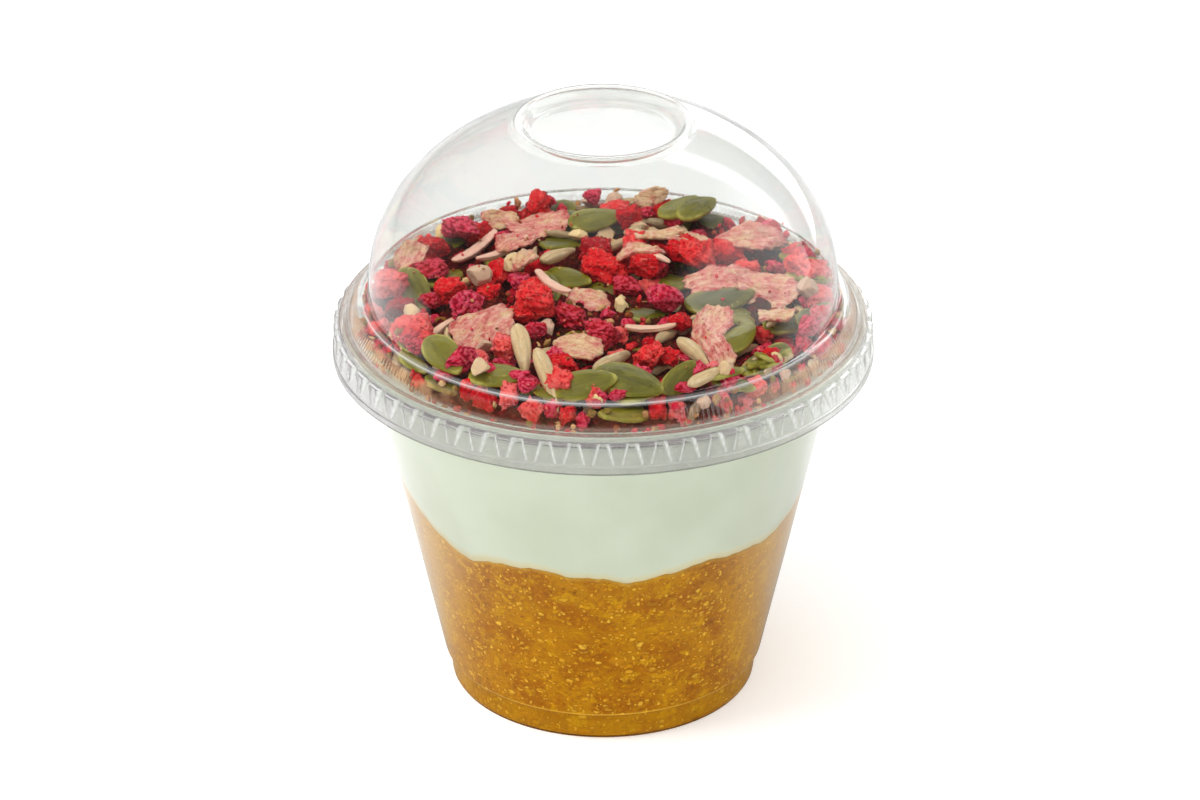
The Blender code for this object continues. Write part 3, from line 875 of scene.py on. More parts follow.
def spread(count):  # points spread evenly over a unit ball
    step = np.arange(count) + 0.5
    height = 1 - 2 * step / count
    turn = step * math.pi * (3 - math.sqrt(5))
    level = np.sqrt(1 - height**2)
    return np.stack([level * np.cos(turn), level * np.sin(turn), height], 1)


def broken(points, draw, cuts, low, high, roughness):  # flat broken faces on a lump of radius 1
    for _ in range(cuts):
        away = draw.normal(size=3)
        away /= np.linalg.norm(away)
        limit = draw.uniform(low, high)
        over = np.clip(points @ away - limit, 0, None)
        points = points - np.outer(over * (1 - roughness), away)
    return points


def stretched(draw, wide, high, size, share):  # how far a lump reaches each way
    return np.array([1.0, draw.uniform(*wide), draw.uniform(*high)]) * size * share


def raspberry(draw, size, level):  # a dried bit of grainy berry
    points, faces = ball(level)
    count = int(44 + size * 12)
    spots = spread(count) + draw.normal(scale=0.1, size=(count, 3))
    spots /= np.linalg.norm(spots, axis=1)[:, None]
    near = np.arccos(np.clip((points @ spots.T).max(1), -1, 1))
    bead = np.sqrt(np.clip(1 - (near / math.sqrt(4.6 / count)) ** 2, 0, 1))
    body = 0.84 + 0.19 * waves(points, draw, 1.4)
    shape = broken(points * body[:, None], draw, 5, 0.45, 0.75, 0.2)
    shape = shape * (0.88 + 0.1 * bead + 0.09 * waves(points, draw, 0.24))[:, None]
    shape = broken(shape, draw, 5, 0.45, 0.75, 0.4)
    return shape * stretched(draw, (0.66, 0.9), (0.6, 0.8), size, 0.52), faces, bead


def squared(points, power):  # onto a rounded cube, squarer with more power
    return points / ((np.abs(points) ** power).sum(1) ** (1 / power))[:, None]


def strawberry(draw, size, level):  # a cut cube of dried fruit
    points, faces = block({3: 6, 4: 11, 5: 14}[level])
    power = draw.uniform(3.4, 6.0)
    cube = broken(squared(points, power), draw, 6, 0.6, 1.0, 0.2)
    pore = 0.6 * waves(points, draw, 0.5) + 0.5 * waves(points, draw, 0.24)
    cube = cube * (1 + 0.12 * waves(points, draw, 1.3) + 0.1 * pore)[:, None]
    cube[:, 0] += 0.18 * cube[:, 2] * draw.uniform(-1, 1)
    return cube * stretched(draw, (0.75, 1.0), (0.6, 0.85), size, 0.5), faces, 0.5 + 0.35 * pore


def pillow(outline, thick, rings, power, flat=0.0):  # a flat thing with a rounded edge
    shares = np.sin(np.linspace(0, math.pi / 2, rings + 1))[1:]
    upper = []
    for share in shares:
        rise = thick * 0.5 * (flat + (1 - flat) * (1 - share**power) ** 0.5) if share < 1 else 0.0
        upper.append(np.column_stack([outline * share, np.full(len(outline), rise)])[::-1])
    lower = [row * np.array([1.0, 1.0, -1.0]) for row in upper[-2::-1]]
    return joinRows([tip(thick * 0.5), *upper, *lower, tip(-thick * 0.5)])


def flake(draw, size, level):  # a thin wavy shaving dusted with berry powder
    knots = int(draw.integers(6, 11))
    turn = (np.arange(knots) + draw.uniform(-0.36, 0.36, knots)) * 2 * np.pi / knots
    wide = draw.uniform(0.48, 0.72)
    reach = draw.uniform(0.74, 1.12, knots)
    corners = np.stack([np.cos(turn), np.sin(turn) * wide], 1) * reach[:, None]
    along = np.linspace(0, knots, 64, endpoint=False)
    before = along.astype(int)
    share = (along - before)[:, None]
    outline = corners[before] * (1 - share) + corners[(before + 1) % knots] * share
    outline = 0.5 * outline + 0.25 * (np.roll(outline, 1, 0) + np.roll(outline, -1, 0))
    ragged = 0.03 * np.sin(along * 9 + draw.uniform(0, 6)) + draw.normal(scale=0.02, size=64)
    outline = outline * (1 + ragged[:, None]) * size * 0.52
    points, faces = pillow(outline, draw.uniform(0.65, 0.95), 10, 14)
    along, across = points[:, 0] / size, points[:, 1] / size
    rim = np.clip(np.hypot(along, across / wide) * 2, 0, 1)
    bend = draw.uniform(0.3, 0.9) * draw.choice([-1, 1])
    points[:, 2] += size * (bend * 0.5 * along**2 + draw.uniform(-0.5, 0.5) * along * across)
    points[:, 2] += size * 0.5 * draw.uniform(-1, 1) * across**2
    flat = points * np.array([1.0, 1.0, 0.0])
    points[:, 2] += 0.32 * waves(flat, draw, 6.0) + 0.13 * waves(flat, draw, 2.0)
    points += 0.06 * waves(points, draw, 0.9)[:, None]
    return points, faces, rim


def tear(spokes, wide, tipLength, tipPower, taper):  # an outline with a pointed end
    turn = np.linspace(0, 2 * np.pi, spokes, endpoint=False)
    point = np.clip(np.cos(turn), 0, 1) ** tipPower * tipLength
    return np.stack([np.cos(turn) + point, np.sin(turn) * wide * (1 - taper * np.cos(turn))], 1)


def pumpkinSeed(draw, size, level):
    wide = draw.uniform(0.5, 0.6)
    points, faces = pillow(tear(36, wide, 0.06, 8, 0.2) * size * 0.5, 2.3 * size / 12, 9, 2.6, 0.12)
    reach = np.hypot(points[:, 0], points[:, 1] / wide) / (size * 0.5)
    groove = np.exp(-(((reach - 0.8) / 0.07) ** 2))
    points[:, 2] *= 1 - 0.16 * groove
    points[:, 2] += 0.035 * size * draw.uniform(-1, 1) * np.cos(points[:, 0] / size * 4)
    points[:, 2] += 0.06 * waves(points, draw, 3.0)
    return points, faces, reach


def kernel(draw, size, level):  # a shelled sunflower seed
    wide = draw.uniform(0.23, 0.31)
    points, faces = pillow(tear(26, wide, 0.1, 6, 0.36) * size * 0.5, 2.5 * size / 9, 7, 2.2, 0.05)
    ridge = np.cos(points[:, 1] / (size * wide) * 16)
    points[:, 2] += 0.07 * ridge * np.sign(points[:, 2]) + 0.07 * waves(points, draw, 2.4)
    points[:, 1] += 0.05 * size * draw.uniform(-1, 1) * np.cos(points[:, 0] / size * 3)
    return points, faces, 0.5 + 0.4 * ridge


def lump(draw, points, body, cuts, low, roughness):
    points = points * (body + 0.12 * waves(points, draw, 1.4))[:, None]
    return broken(points, draw, cuts, low, 0.8, roughness)


def nib(draw, size, level):  # a blunt bit of nut
    points, faces = ball(min(level, 4))
    shape = lump(draw, points, 0.9, 8, 0.4, 0.05) * (1 + 0.03 * waves(points, draw, 0.45))[:, None]
    return shape * stretched(draw, (0.75, 0.95), (0.6, 0.8), size, 0.58), faces, 0.5


def sliver(draw, size, level):  # a thin stick
    points, faces = block(5)
    stick = squared(points, 6) * np.array([size * 0.5, draw.uniform(0.7, 1.0), draw.uniform(0.4, 0.6)])
    along = stick[:, 0] / size * 2
    stick[:, 1:] *= (1 - draw.uniform(0.2, 0.5) * np.abs(along) ** 2)[:, None]
    stick[:, 2] += size * 0.12 * draw.uniform(-1, 1) * along**2
    return stick + 0.05 * waves(points, draw, 0.8)[:, None], faces, 0.5


def crumb(draw, size, level):
    points, faces = ball(3 if size > 1.6 else 2)
    shape = lump(draw, points, 0.85, 5, 0.45, 0.1) * (1 + 0.07 * waves(points, draw, 0.4))[:, None]
    return shape * stretched(draw, (0.5, 0.9), (0.4, 0.7), size, 0.55), faces, 0.5


# The heap. A listed piece: its middle in the photograph's pixels, across and down, its
# length in millimetres, its tone, 0 to 1, and unless they are 0 its heading there in degrees
# from the right and how far it leans towards the camera
heap = {
    "seed": 11,
    "levels": (3, 4, 5),  # how fine the meshes are of filling, laid and large laid pieces
    "large": 7.4,
    "cell": 0.5,
    "half": 47.0,
    "clear": 100.0,  # a level over everything
    "spots": 900,  # over each piece, to feel what lies under it
    "reach": 43.2,  # under the dome
    "edgeReach": 44.3,
    # how far out pieces lie, then the collar's underside over them: its height, and from where
    # and how steeply it falls
    "inner": (45.0, 79.0, 44.3, 1.87),
    "outer": (46.5, 79.2, 44.85, 1.75),
    "shoulder": (3.4, 1.9),
    "coreEdge": 75.9,
    "coreCrown": 76.6,
    "coreBump": 0.7,
    "coreBottom": 73.25,
    "coreRows": 70,
    "bed": 1.3,  # how deep the first pieces lie in the core
    "sightLevel": 79.6,
    "sink": 0.86,  # the share of a piece's spots that stay clear of what lies under it
    "crumbSink": 0.45,
    "moves": 30,  # moved in from the wall at most so often, half a millimetre each time
    "laidWays": (9, 7),  # how many ways a laid piece tries, and how far they sway in degrees
    "looseWays": (7, 24, 180),  # the same for the rest: flat kinds, then the others
    "flatKinds": ("pumpkinSeed", "kernel", "flake", "sliver"),
    "cap": {"raspberry": 80.3, "strawberry": 80.5, "pumpkinSeed": 80.8, "kernel": 81.0, "flake": 81.6,
            "nib": 81.6, "sliver": 81.8},  # the highest that a kind's middle lies
    "fill": ("raspberry", "strawberry", "nib", "raspberry", "kernel", "strawberry", "raspberry", "strawberry",
             "pumpkinSeed", "raspberry", "strawberry"),
    "fillCounts": (250, 220),  # before and after the listed pieces
    "fillCaps": (78.6, 79.4),
    "fillSizes": {"raspberry": (3.2, 5.5), "strawberry": (3.0, 4.8), "nib": (2.6, 3.8), "kernel": (6.0, 8.0),
                  "pumpkinSeed": (8.0, 10.0)},
    "hollowCrumbs": 240,  # let down into the lowest places
    "hollowSizes": (1.2, 2.6),
    "crumbs": 200,
    "crumbSizes": (0.4, 1.0),
    "crumbLevel": 81.5,  # above it no crumbs lie
    "rimCrumbs": 420,  # along the wall and on the cup's rim, up to a level
    "rimCrumbSizes": (0.7, 2.0),
    "rimTones": (0.15, 1.0),
    "rimLevel": 76.6,
}
laidFirst = {
    "pumpkinSeed": (
        (451, 242, 8.5, 0.2, 30, 10), (562, 247, 9.0, 0.35, -2, -12), (446, 279, 10.0, 0.7, 25, -15),
        (414, 287, 10.0, 0.7, -62, 30), (647, 314, 8.5, 0.3, 0, 5), (604, 290, 7.0, 0.4, -20),
        (672, 281, 11.5, 0.5, -6, -14), (651, 345, 8.5, 0.5, -6, -10), (724, 375, 8.0, 0.6, 3),
        (786, 324, 9.0, 0.5, 10, 20), (816, 316, 9.0, 0.0, 40, 20), (414, 362, 7.5, 0.9, -40, 10),
        (762, 368, 9.0, 0.6, 15, 5), (585, 335, 8.0, 0.4, 10), (640, 408, 8.0, 0.5, 5),
        (548, 410, 8.0, 0.6), (716, 213, 9.0, 0.2, 20, 20), (482, 391, 10.5, 0.7, -4, 15),
        (679, 379, 8.5, 0.55, 50, 45),
    ),
    "kernel": (
        (559, 234, 5.5, 0.2, -10), (636, 273, 6.5, 0.7, 14), (620, 243, 7.0, 0.5, 15),
        (634, 230, 6.0, 0.5, 30), (659, 212, 7.0, 0.2, -15, 10), (690, 326, 7.0, 0.3, 40, 10),
        (777, 319, 6.5, 0.3, 30), (529, 259, 6.5, 0.6, 60, 20), (700, 300, 6.0, 0.2),
        (668, 335, 7.0, 0.3, 30), (571, 345, 6.5, 0.5, -30), (742, 352, 7.0, 0.6, 20),
        (659, 369, 8.0, 0.6, 14),
    ),
    "nib": (
        (604, 233, 4.3, 0.4, 0, 25), (652, 224, 4.4, 0.6, 20), (681, 227, 4.0, 0.3),
        (614, 200, 4.2, 0.2, 0, 10), (591, 201, 3.6, 0.1, 0, 10), (640, 230, 4.0, 0.4),
        (736, 376, 3.6, 0.5), (547, 331, 4.6, 0.1, 80, 10), (590, 376, 5.6, 0.2, -20, 10),
    ),
    "raspberry": (
        (432, 268, 8.2, 0.2, 10), (503, 237, 5.0, 0.5), (592, 193, 4.6, 0.7, 20),
        (561, 207, 3.4, 0.2, 60), (638, 258, 6.0, 0.3), (658, 267, 6.5, 0.1), (628, 287, 7.0, 0.2),
        (521, 284, 6.0, 0.6), (432, 294, 6.5, 0.3), (486, 289, 4.5, 0.4), (567, 316, 9.5, 0.1, -20),
        (553, 362, 7.6, 0.55), (520, 376, 5.4, 0.8), (506, 365, 5.6, 0.6), (436, 379, 5.2, 0.6),
        (591, 356, 4.6, 0.6), (618, 409, 4.6, 0.5), (640, 376, 5.6, 0.7, -20), (681, 361, 4.8, 0.6),
        (696, 403, 5.4, 0.4), (764, 335, 6.4, 0.35, 50), (783, 340, 6.0, 0.4), (802, 343, 5.0, 0.8, 30),
        (810, 257, 4.2, 0.8), (778, 262, 4.4, 0.9), (806, 301, 4.6, 0.8, 30), (398, 345, 7.5, 0.3, -45),
        (698, 224, 4.0, 0.8), (675, 221, 4.8, 0.6), (646, 214, 4.0, 0.4), (820, 328, 6.5, 0.8, 40),
        (450, 330, 5.5, 0.8), (536, 325, 6.0, 0.4), (714, 350, 5.0, 0.5),
    ),
    "strawberry": (
        (430, 246, 6.0, 0.75, 0, 15), (501, 269, 5.4, 0.6, 30), (476, 240, 5.4, 0.7),
        (449, 291, 5.0, 0.55, 20), (615, 211, 5.4, 0.35, 0, 10), (631, 217, 4.8, 0.65),
        (536, 289, 5.4, 0.4), (644, 264, 5.0, 0.6), (634, 243, 5.4, 0.35), (729, 252, 6.6, 0.45, 10, 15),
        (621, 337, 4.6, 0.25, 60), (666, 358, 4.6, 0.6), (504, 349, 5.0, 0.2, 60, 10),
        (819, 274, 6.0, 0.15, 0, 15), (798, 267, 4.4, 0.3, 0, 10), (680, 321, 4.0, 0.7, 20),
        (425, 338, 4.4, 0.4, 10), (488, 287, 4.8, 0.55, 50), (826, 297, 4.8, 0.1), (747, 262, 5.0, 0.3),
        (520, 304, 4.8, 0.55), (561, 371, 4.4, 0.6),
    ),
}
laidLast = {
    "sliver": (
        (474, 256, 14.5, 0.8, 42, 8), (502, 252, 13.5, 0.7, 30, 8), (652, 254, 8.5, 0.5, -20),
        (651, 329, 9.6, 0.4, -5), (418, 322, 9.0, 0.6, 50, 10), (436, 313, 13.5, 0.5, 36),
        (553, 286, 9.5, 0.7, -27),
    ),
    "raspberry": (
        (603, 331, 9.5, 0.15), (489, 371, 5.6, 0.75), (464, 365, 8.0, 0.6, 10),
        (466, 305, 8.6, 0.75, 60, 20), (518, 397, 5.2, 0.9), (666, 299, 8.4, 0.65, -10),
        (699, 370, 5.8, 0.6, 60, 10), (460, 226, 9.0, 0.6, -35, 15),
    ),
    "strawberry": (
        (390, 289, 6.4, 0.15, 0, 10), (595, 247, 5.8, 1.0, 0, 10), (541, 267, 5.4, 0.75, 10, 10),
        (605, 267, 7.8, 0.5, -15, 10), (536, 302, 6.4, 0.4, 0, 15), (671, 247, 7.2, 0.85, 0, 10),
        (684, 261, 6.6, 0.6, -20, 10), (697, 257, 6.6, 0.4, 0, 15), (557, 382, 5.4, 0.3, -20, 25),
        (650, 356, 5.8, 0.4, 30, 10), (409, 333, 7.5, 0.3, -60, 20),
    ),
    "nib": (
        (580, 235, 3.9, 0.8, 0, 20), (478, 276, 5.0, 0.2, 10, 10), (414, 312, 4.4, 0.5, 80, 20),
        (485, 350, 3.6, 0.1), (451, 388, 4.4, 0.4, 80, 20), (621, 304, 4.6, 0.8, 60, 30),
        (795, 310, 4.8, 0.4, 0, 20), (808, 287, 5.2, 0.1, 20), (512, 262, 4.6, 0.6, 70, 20),
    ),
    "pumpkinSeed": (
        (572, 222, 9.5, 0.25, 0, 22), (595, 219, 10.5, 0.6, 5, 25), (569, 276, 8.8, 0.6, -18, 25),
        (681, 205, 10.5, 0.7, 35, 10), (697, 208, 10.0, 0.5, 35, 15), (719, 300, 13.5, 0.2, 12, 12),
        (738, 338, 9.5, 0.8, 45, 20), (438, 357, 10.5, 0.8, -52, 25), (583, 395, 11.5, 0.6, 8, 25),
        (630, 391, 13.5, 0.45, -20, 22),
    ),
    "kernel": (
        (557, 256, 8.4, 0.6, 25, 5), (445, 336, 8.2, 0.8, 85, 30), (521, 349, 11.0, 0.85, -80, 36),
        (611, 362, 9.2, 0.5, 25), (539, 391, 12.4, 0.75, -70, 38), (693, 352, 9.2, 0.7, -42, 15),
        (717, 389, 7.5, 0.7, 16),
    ),
    "flake": (
        (398, 258, 9.5, 0.55, 65, 35), (499, 219, 9.0, 0.35, -8, 48), (535, 226, 13.0, 0.85, 5, 14),
        (651, 196, 8.0, 0.1, 10, 62), (754, 238, 13.0, 0.75, 0, 42), (722, 277, 15.0, 0.85, 12, 16),
        (768, 291, 13.5, 0.7, -15, 34), (484, 325, 16.0, 0.7, 43, 20), (713, 327, 12.5, 0.7, 65, 22),
        (720, 352, 11.0, 0.75, -62, 30), (589, 301, 11.0, 0.6, -20, 18), (578, 349, 12.0, 0.4, -14, 14),
        (776, 316, 8.0, 0.4, 10, 10), (526, 262, 7.0, 0.4, 40, 20), (690, 238, 10.5, 0.5, 2, -10),
        (656, 236, 9.5, 0.3, -3, -8), (640, 251, 9.0, 0.6, -4, -8), (516, 240, 9.0, 0.8, 30, 10),
    ),
}
fieldNames = ("grain", "tone", "stand")  # kept at each point of the small pieces


def turnAbout(axis, degrees):
    turn = math.radians(degrees)
    c, s = math.cos(turn), math.sin(turn)
    a, b = [k for k in range(3) if k != axis]
    matrix = np.eye(3)
    matrix[a, a] = matrix[b, b] = c
    matrix[a, b], matrix[b, a] = (s, -s) if axis == 1 else (-s, s)
    return matrix


def coreBumps(flat):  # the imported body's large unevenness
    return heap["coreBump"] * waves(flat, np.random.default_rng(3), 9.0)


def coreHeight(reach, bump):  # its top, lower in a band along the wall
    share = np.clip(reach / heap["reach"], 0, 1)
    level = heap["coreEdge"] + (heap["coreCrown"] - heap["coreEdge"]) * (1 - share**2) + bump
    wide, drop = heap["shoulder"]
    inside = np.clip((heap["edgeReach"] - reach) / wide, 0, 1)
    return level - drop * (1 - inside) ** 2


class Pile:  # keeps the heap's top in cells, and lets pieces down onto it
    def __init__(self, draw):
        self.draw = draw
        self.sink = heap["sink"]
        self.count = int(2 * heap["half"] / heap["cell"])
        grid = (np.arange(self.count) + 0.5) * heap["cell"] - heap["half"]
        across, along = np.meshgrid(grid, grid)
        self.reach = np.hypot(across, along)
        flat = np.stack([across.ravel(), along.ravel(), np.zeros(across.size)], 1)
        bump = coreBumps(flat).reshape(across.shape)
        bead = cup["rimBead"]
        off = np.clip(np.abs(self.reach - cup["rimRadius"] + bead), 0, bead)
        lip = cup["height"] - bead + np.sqrt(bead**2 - off**2)
        self.bare = np.maximum(coreHeight(self.reach, bump) - heap["bed"], lip)
        self.top = np.full(self.bare.shape, np.inf)
        self.openTo(*heap["inner"])
        self.kinds = {kind: {part: [] for part in ("points", "faces", *fieldNames)} for kind in kinds}

    def openTo(self, reach, roof, bend, fall):  # lets pieces lie this far out
        self.rim = self.reach > reach
        opened = np.isinf(self.top) & ~self.rim
        self.top[opened] = self.bare[opened]
        under = roof - np.clip(self.reach - bend, 0, None) * fall
        self.roof = np.where(self.reach < heap["reach"], heap["clear"], under)

    def dust(self, points, faces):  # spots over a piece's surface
        corners = [face[:3] for face in faces]
        corners += [(face[0], face[2], face[3]) for face in faces if len(face) == 4]
        a, b, c = points[np.array(corners).T]
        area = np.linalg.norm(np.cross(b - a, c - a), axis=1)
        count = heap["spots"]
        chosen = self.draw.choice(len(area), count, p=area / area.sum())
        u, v = self.draw.random(count), self.draw.random(count)
        over = u + v > 1
        u[over], v[over] = 1 - u[over], 1 - v[over]
        spots = a[chosen] + (b - a)[chosen] * u[:, None] + (c - a)[chosen] * v[:, None]
        return np.concatenate([spots, points])

    def cellsOf(self, spots):
        where = np.floor((spots[:, :2] + heap["half"]) / heap["cell"]).astype(int)
        where = np.clip(where, 0, self.count - 1)
        return where[:, 1] * self.count + where[:, 0]

    def levelAt(self, middle):
        return self.top.ravel()[self.cellsOf(np.array([[*middle, 0.0]]))[0]]

    def lift(self, spots):  # how far spots rise to lie on the heap, endless where they can't
        used, index = np.unique(self.cellsOf(spots), return_inverse=True)
        low, high = np.full(len(used), np.inf), np.full(len(used), -np.inf)
        np.minimum.at(low, index, spots[:, 2])
        np.maximum.at(high, index, spots[:, 2])
        gaps = self.top.ravel()[used] - low
        room = (self.roof.ravel()[used] - high).min()
        rise = np.sort(gaps)[int(len(gaps) * self.sink)]
        return rise if rise <= room and np.isfinite(gaps).all() else np.inf

    def settle(self, spots, turns, middle):  # the turn that lies lowest, and its place
        best = None
        for turn in turns:
            moved = spots @ turn.T
            moved[:, :2] += middle
            rise = self.lift(moved)
            score = rise + moved[:, 2].mean() + 0.25 * moved[:, 2].max()
            if np.isfinite(rise) and (best is None or score < best[0]):
                best = score, turn, rise
        return best

    def land(self, spots, turns, middle, cap):  # moved in from the wall until it fits
        middle = np.array(middle, float)
        for _ in range(heap["moves"]):
            found = self.settle(spots, turns, middle)
            if found:
                return found[1], np.array([*middle, min(found[2], cap)])
            middle *= 1 - 0.5 / max(np.hypot(*middle), 1.0)

    def keep(self, kind, piece, turn, place, tone, spots):
        points, faces, stand = piece
        kept = self.kinds[kind]
        start = sum(map(len, kept["points"]))
        kept["points"].append(points @ turn.T + place)
        kept["faces"].extend(tuple(corner + start for corner in face) for face in faces)
        kept["grain"].append(points + self.draw.uniform(-200, 200, 3))
        kept["tone"].append(np.full(len(points), tone))
        kept["stand"].append(np.full(len(points), np.clip(stand, 0, 1)))
        moved = spots @ turn.T + place
        np.maximum.at(self.top.reshape(-1), self.cellsOf(moved), moved[:, 2])
        self.top[self.rim] = np.inf

    def lay(self, kind, across, down, size, tone, heading=0, lean=0):  # where the photograph shows it
        turns = laidTurns(self.draw, heading, lean)
        piece = kinds[kind][0](self.draw, size, heap["levels"][2 if size > heap["large"] else 1])
        spots = self.dust(*piece[:2])
        place = (0.0, 0.0, heap["sightLevel"])
        for _ in range(3):
            found = self.land(spots, turns, underPixel(across, down, place[2]), heap["cap"][kind])
            if not found:
                return
            place = found[1]
        self.keep(kind, piece, *found, tone, spots)

    def drop(self, kind, middle, size, turns, tone, cap):
        piece = kinds[kind][0](self.draw, size, heap["levels"][0])
        spots = self.dust(*piece[:2])
        found = self.land(spots, turns, middle, cap)
        if found:
            self.keep(kind, piece, *found, tone, spots)

    def fill(self, count, cap):  # small pieces in the lowest places
        for k in range(count):
            kind = heap["fill"][k % len(heap["fill"])]
            size = self.draw.uniform(*heap["fillSizes"][kind])
            turns = looseTurns(self.draw, kind)
            self.drop(kind, self.hollow(), size, turns, self.draw.random(), cap)

    def hollow(self):  # the middle of the lowest place, about 3 mm wide
        level = np.where(self.rim, 0.0, self.top)
        steps = [(a, b) for a in range(-3, 4) for b in range(-3, 4)]
        total = sum(np.roll(level, step, (0, 1)) for step in steps)
        count = sum(np.roll(~self.rim, step, (0, 1)).astype(float) for step in steps)
        around = np.where(count > len(steps) // 2, total / np.maximum(count, 1), heap["clear"])
        around = around + self.draw.normal(scale=0.25, size=around.shape)
        down, across = np.unravel_index(np.argmin(around), around.shape)
        return np.array([across + 0.5, down + 0.5]) * heap["cell"] - heap["half"]


def laidTurns(draw, heading, lean):  # ways to lie near the one that the photograph shows
    steep, turn = math.radians(camera["tilt"] + lean), math.radians(heading)
    plan = math.degrees(math.atan2(math.sin(turn) / max(math.sin(steep), 0.25), math.cos(turn)))
    ways, sway = heap["laidWays"]
    turns = []
    for step in range(ways):
        far = sway if step else 0
        tilt = turnAbout(0, lean + draw.uniform(-far, far)) @ turnAbout(1, draw.uniform(-far, far) * 1.3)
        turns.append(tilt @ turnAbout(2, plan))
    return turns


def looseTurns(draw, kind):
    ways, flat, full = heap["looseWays"]
    lean = flat if kind in heap["flatKinds"] else full
    turns = []
    for _ in range(ways):
        tilt = turnAbout(0, draw.uniform(-lean, lean)) @ turnAbout(1, draw.uniform(-lean, lean))
        turns.append(tilt @ turnAbout(2, draw.uniform(0, 360)))
    return turns


def heapUp():
    draw = np.random.default_rng(heap["seed"])
    pile = Pile(draw)
    pile.fill(heap["fillCounts"][0], heap["fillCaps"][0])
    for rows in (laidFirst, laidLast):
        for kind in rows:
            for row in rows[kind]:
                pile.lay(kind, *row)
    pile.fill(heap["fillCounts"][1], heap["fillCaps"][1])
    for _ in range(heap["hollowCrumbs"]):
        size = draw.uniform(*heap["hollowSizes"])
        turns = looseTurns(draw, "crumb")[:3]
        pile.drop("crumb", pile.hollow(), size, turns, draw.random(), heap["crumbLevel"])
    pile.sink = heap["crumbSink"]
    for _ in range(heap["crumbs"]):
        middle = facing(draw.uniform(0, 360), 0)[:2] * heap["reach"] * 0.98 * math.sqrt(draw.random())
        size = draw.uniform(*heap["crumbSizes"])
        turns = looseTurns(draw, "crumb")[:2]
        if pile.levelAt(middle) < heap["crumbLevel"]:
            pile.drop("crumb", middle, size, turns, draw.random(), heap["crumbLevel"] + 1)
    pile.openTo(*heap["outer"])
    for _ in range(heap["rimCrumbs"]):
        middle = facing(draw.uniform(0, 360), 0)[:2] * draw.uniform(heap["reach"], heap["outer"][0] - 0.3)
        size = draw.uniform(*heap["rimCrumbSizes"])
        turns = looseTurns(draw, "crumb")[:2]
        tone = draw.uniform(*heap["rimTones"])
        if pile.levelAt(middle) < heap["rimLevel"]:
            pile.drop("crumb", middle, size, turns, tone, heap["rimLevel"] + 1)
    inside = pile.top[np.isfinite(pile.top)]
    print(f"heap's top from {inside.min():.1f} to {inside.max():.1f}, mean {inside.mean():.1f}")
    return pile.kinds


# Finishes of the topping's kinds
def colours(**named):
    return {name: screen(*colour) for name, colour in named.items()}


fruit = colours(
    crimson=(194, 0, 22),
    magenta=(220, 20, 62),
    # hollow: painted shade in a raspberry's hollows, between its beads and in its fine bumps
    hollow=(76, 0, 10),
    bloom=(222, 92, 116),
    pip=(226, 160, 110),
    blush=(240, 128, 138),
    salmon=(246, 104, 98),
    coral=(240, 48, 50),
    red=(214, 4, 24),
    dark=(164, 0, 20),
    pale=(240, 140, 124),
)
flesh = colours(
    cream=(226, 190, 142),
    rose=(224, 132, 124),
    vein=(206, 104, 94),
    skin=(178, 48, 46),
    dust=(198, 66, 68),
    speck=(150, 20, 28),
    pale=(246, 206, 184),
)
green = colours(
    dark=(66, 64, 4),
    light=(124, 114, 8),
    sheen=(160, 146, 34),
    streak=(46, 42, 4),
    rim=(158, 148, 30),
    # groove: painted shade in the groove near a seed's edge
    groove=(50, 46, 4),
    edge=(190, 178, 84),
    flaw=(198, 180, 100),
)
shelled = colours(
    dark=(160, 136, 102),
    light=(222, 188, 142),
    pale=(240, 220, 188),
    # ridge: painted shade in the grooves between a kernel's ridges
    ridge=(132, 98, 66),
    speck=(140, 84, 58),
    dust=(206, 104, 92),
)
nut = colours(
    dark=(206, 166, 144),
    light=(238, 206, 146),
    pale=(248, 228, 190),
    dust=(206, 104, 84),
    sliverDark=(224, 186, 150),
    sliverLight=(236, 176, 160),
    sliverPale=(248, 222, 200),
    sliverDust=(204, 92, 90),
)
# tones of the loose crumbs, and of those packed under the pieces, kept dark as painted shade
loose = colours(shell=(150, 64, 30), green=(128, 112, 34), tan=(190, 132, 84), cream=(224, 184, 130))
packed = colours(
    darkRed=(80, 4, 10),
    red=(120, 10, 16),
    brown=(110, 34, 18),
    green=(70, 52, 14),
    pink=(140, 22, 26),
    tan=(140, 76, 48),
    # painted shade between the packed crumbs
    gap=(44, 4, 6),
    dust=(170, 80, 60),
)
# how light goes through the flesh: its share, scale in metres and reach in red, green and blue
softFruit = (0.08, 0.001, (1.0, 0.2, 0.2))
softCube = (0.06, 0.001, (1.0, 0.35, 0.3))
softFlake = (0.12, 0.001, (1.0, 0.6, 0.5))
softNut = (0.08, 0.001, (1.0, 0.8, 0.5))


def raspberryLook(look, tone, stand):
    fine = look.noise(look.grain(0.35), 3.0, 0.65)
    cloud = look.noise(look.grain(2.6), 2.0)
    dusty = (stand * 0.6 + cloud * 0.6 + fine * 0.7).ease(0.88, 1.24)
    colour = look.paint(
        look.blend((tone + cloud * 0.5).ease(0.35, 1.0), fruit["crimson"], fruit["magenta"]),
        # painted shade in the hollows between the beads and in the low places of the fine bumps
        (stand.fade(0.0, 0.7) * 0.55, fruit["hollow"]),
        (fine.fade(0.34, 0.46) * 0.5, fruit["hollow"]),
        (dusty * (0.4 + tone * 0.5), fruit["bloom"]),
        (look.cells(look.grain(1.7)).fade(0.1, 0.16) * 0.55, fruit["pip"]),
    )
    bumps = fine * 0.6 + look.noise(look.grain(0.12), 2.0) * 0.4
    return look.food(colour, 0.6, bumps, 0.25, shine=0.12, soft=softFruit)


